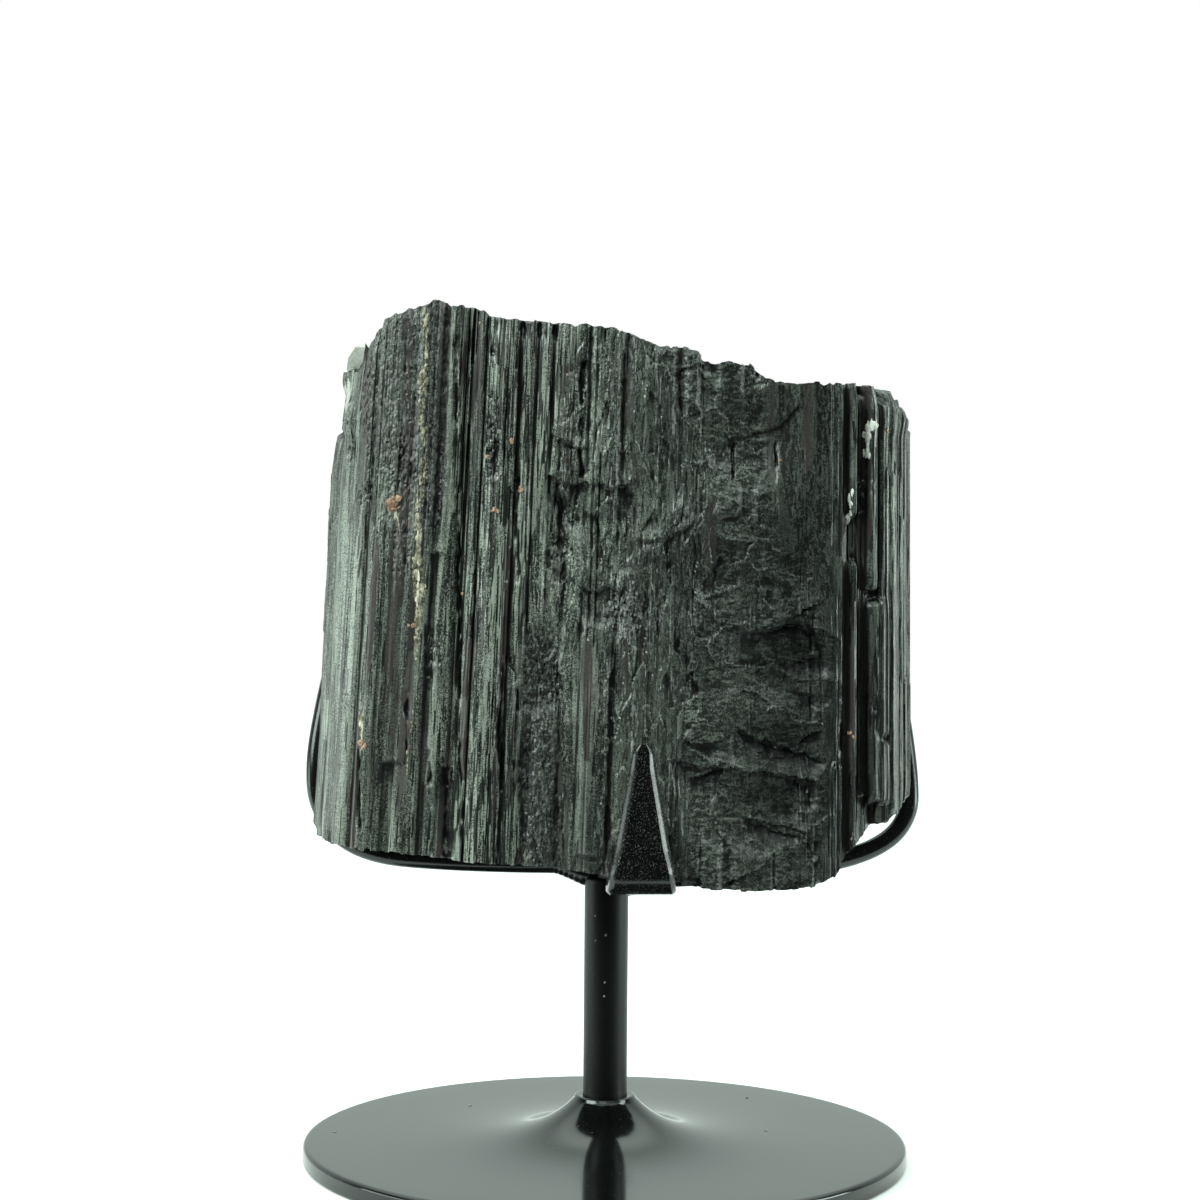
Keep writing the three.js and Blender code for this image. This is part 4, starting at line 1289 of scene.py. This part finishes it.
def grid_faces(columns):
    """The four-cornered faces between neighbouring columns."""
    index = np.arange(columns * ROWS).reshape(columns, ROWS)
    corners = [index[:-1, :-1], index[1:, :-1], index[1:, 1:], index[:-1, 1:]]
    return np.stack(corners, 2).reshape(-1, 4).tolist()


def skin_face(name, picked):
    """The part of the sleeve with the picked columns."""
    numbers = {key: values[picked].ravel() for key, values in carried_numbers.items()}
    skin_piece(name, sleeve[picked].reshape(-1, 3), grid_faces(len(picked)), numbers)


def skin_break(name, points, faces):
    """The rough top or foot."""
    numbers = {"across": points[:, 0], "along": points[:, 1], "broken": 1.0, "pitted": 0.3, "gappy": 0.0,
               "hollow": 0.0, "painted_sheen": 0.25, "vein": 0.0, "pale": 0.0, "shelly": 0.6, "dulled_back_and_sides": 0.2}
    skin_piece(name, points, faces, numbers)


in_front = np.flatnonzero(outward[:, 1] < MESH_FRONT_FACING)
middle = in_front[np.argmin(np.abs(rim[in_front, 0]))]
every = np.arange(len(around))
skin_face("crystal_left_face", every[in_front[0]:middle + 1])
skin_face("crystal_right_face", every[middle:in_front[-1] + 1])
skin_face("crystal_back", np.concatenate([every[in_front[-1]:], every[:in_front[0] + 1]]))
skin_break("crystal_top", top_points, top_faces)
skin_break("crystal_foot", foot_points, foot_faces)

# %% [markdown]
# ## Mineral grains
#
# Other minerals grew with the tourmaline: orange feldspar grains, a crust of pale mica along a seam, a
# few white flakes and one milky chip on the left shoulder. They stand a little proud. Paint on the skin
# would stay flat, so they are small angular lumps, each set on the skin where a ray from the front
# meets it, half sunk, and joined into one mesh for each mineral.

# %% Set grains on the skin
IN_FRONT_OF_ALL = -80
FACETS = 7

front_points = sleeve[in_front[0]:in_front[-1] + 1]
skin = BVHTree.FromPolygons(front_points.reshape(-1, 3).tolist(), grid_faces(len(front_points)))


def facet(shape, cuts):
    """Cuts flat faces on a round lump by pushing in what stands out past a few planes."""
    for way in rng.normal(size=(cuts, 3)):
        way /= np.linalg.norm(way)
        over = np.clip(shape @ way - rng.uniform(0.45, 0.7), 0, None)
        shape = shape - over[:, None] * way
    return shape


def set_grains(name, spots, material, stretch=(1, 1, 0.4)):
    """One mesh of grains, each at a spot of (x, height, size), wide, tall and proud by the stretch."""
    shapes = []
    for x, z, size in spots:
        place, normal, _, _ = skin.ray_cast(Vector((x, IN_FRONT_OF_ALL, z)), Vector((0, 1, 0)))
        if place is None:
            continue
        turn = np.array(normal.to_track_quat("Z", "Y").to_matrix())
        shape = facet(lump_points, FACETS) * size * rng.uniform(0.6, 1.3, 3) * stretch
        shapes.append(shape @ turn.T + np.array(place))
    made = joined_lumps(name, shapes, material, 25)
    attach(made, "root")
    print(name, len(shapes), "grains", len(made.data.polygons), "faces")


# %% Mix the minerals


def mineral(name, dark, light, roughness, grain=0.4):
    """A grainy finish between two colours."""
    material, sheet = new_finish(name)
    speckle = sheet.noise(sheet.places(1 / (grain * MM)), detail=4.0)
    coat_with(sheet, {
        "Base Color": sheet.blend(speckle.between(0.35, 0.65), dark, light),
        "Roughness": roughness + 0.2 * speckle,
        "Normal": sheet.bump(speckle, 0.5, 0.08 * MM),
    })
    return material


orange = mineral("feldspar", (0.24, 0.14, 0.09, 1), (0.56, 0.36, 0.25, 1), 0.4)
cream = mineral("mica_crust", (0.17, 0.15, 0.09, 1), (0.70, 0.64, 0.50, 1), 0.45, 1.6)
white = mineral("white_flakes", (0.70, 0.71, 0.66, 1), (0.90, 0.90, 0.86, 1), 0.35)
milky = mineral("milky_chip", (0.46, 0.47, 0.43, 1), (0.62, 0.63, 0.59, 1), 0.25)
print("minerals:", [material.name for material in (orange, cream, white, milky)])

# %% Feldspar, crust and flakes
# A clump of feldspar is (x, height, spread, count), and a line of flakes is (start, end, count).
FELDSPAR = [(-37.6, 119.4, 0.9, 16), (-43, 77.5, 0.8, 6), (-20, 118.5, 0.6, 4), (-17, 130.5, 0.4, 3),
            (-21.5, 128, 0.4, 2), (-15.5, 122.5, 0.4, 2), (-25.5, 104, 0.2, 2), (-34.5, 98.5, 0.4, 3),
            (-23, 151, 0.3, 2), (29.5, 127.5, 0.3, 2), (42.5, 79.5, 0.4, 3), (48.5, 133, 0.4, 2)]
FLAKE_LINES = [((44.6, 133.6), (46.6, 133.8), 26), ((45.0, 133.4), (45.1, 128.4), 46),
               ((41.9, 122), (42.1, 117.5), 9)]
CRUST_LINES = [((-43.4, 84), (-43.2, 79.5), 14), ((-37.2, 117.5), (-36.8, 115), 9)]


def along_lines(lines):
    """Spots strewn along lines of (start, end, count)."""
    return [(*(np.array(a) + (np.array(b) - a) * t + rng.normal(0, 0.2, 2)), rng.uniform(0.2, 0.6))
            for a, b, count in lines for t in rng.random(count)]


def around_spot(x, z, spread):
    """One grain of a clump."""
    place = x + rng.normal(0, spread * 0.6), z + rng.normal(0, spread * 0.6)
    return *place, rng.uniform(0.3, 0.45 + 0.4 * spread)


spots = [around_spot(x, z, spread) for x, z, spread, count in FELDSPAR for _ in range(count)]
set_grains("feldspar_grains", spots, orange)
spots = []
for x, z in smooth_path(VEIN, 60):
    half = value_along(VEIN_WIDTHS, z)
    if rng.random() < 1.1 * half**1.3 * (cloud(np.array(x), np.array(z), 3, 1.6, 88) > -0.2):
        spots.append((x + rng.normal(0, 0.45 * half), z, rng.uniform(0.15, 0.25 + 0.4 * half)))
spots += along_lines(CRUST_LINES)
set_grains("vein_crust", spots, cream, (0.7, 1.7, 0.3))
set_grains("white_flakes", along_lines(FLAKE_LINES), white, (0.8, 1.6, 0.4))

# %% The pale chip on the shoulder
CHIP_PLACE, CHIP_HALF = np.array((-44.2, -7.5, 145.0)), np.array((2.6, 3.6, 2.6))
CHIP_SLOPE, CHIP_SLOPE_AT = np.array((-0.8, 0.0, 0.6)), 0.85

block = np.clip(1.5 * lump_points, -1, 1)
block = block - np.clip(block @ CHIP_SLOPE - CHIP_SLOPE_AT, 0, None)[:, None] * CHIP_SLOPE
chip = joined_lumps("pale_chip", [block * CHIP_HALF + CHIP_PLACE], milky, 35)
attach(chip, "root")
print("chip of", (2 * CHIP_HALF).tolist(), "mm")
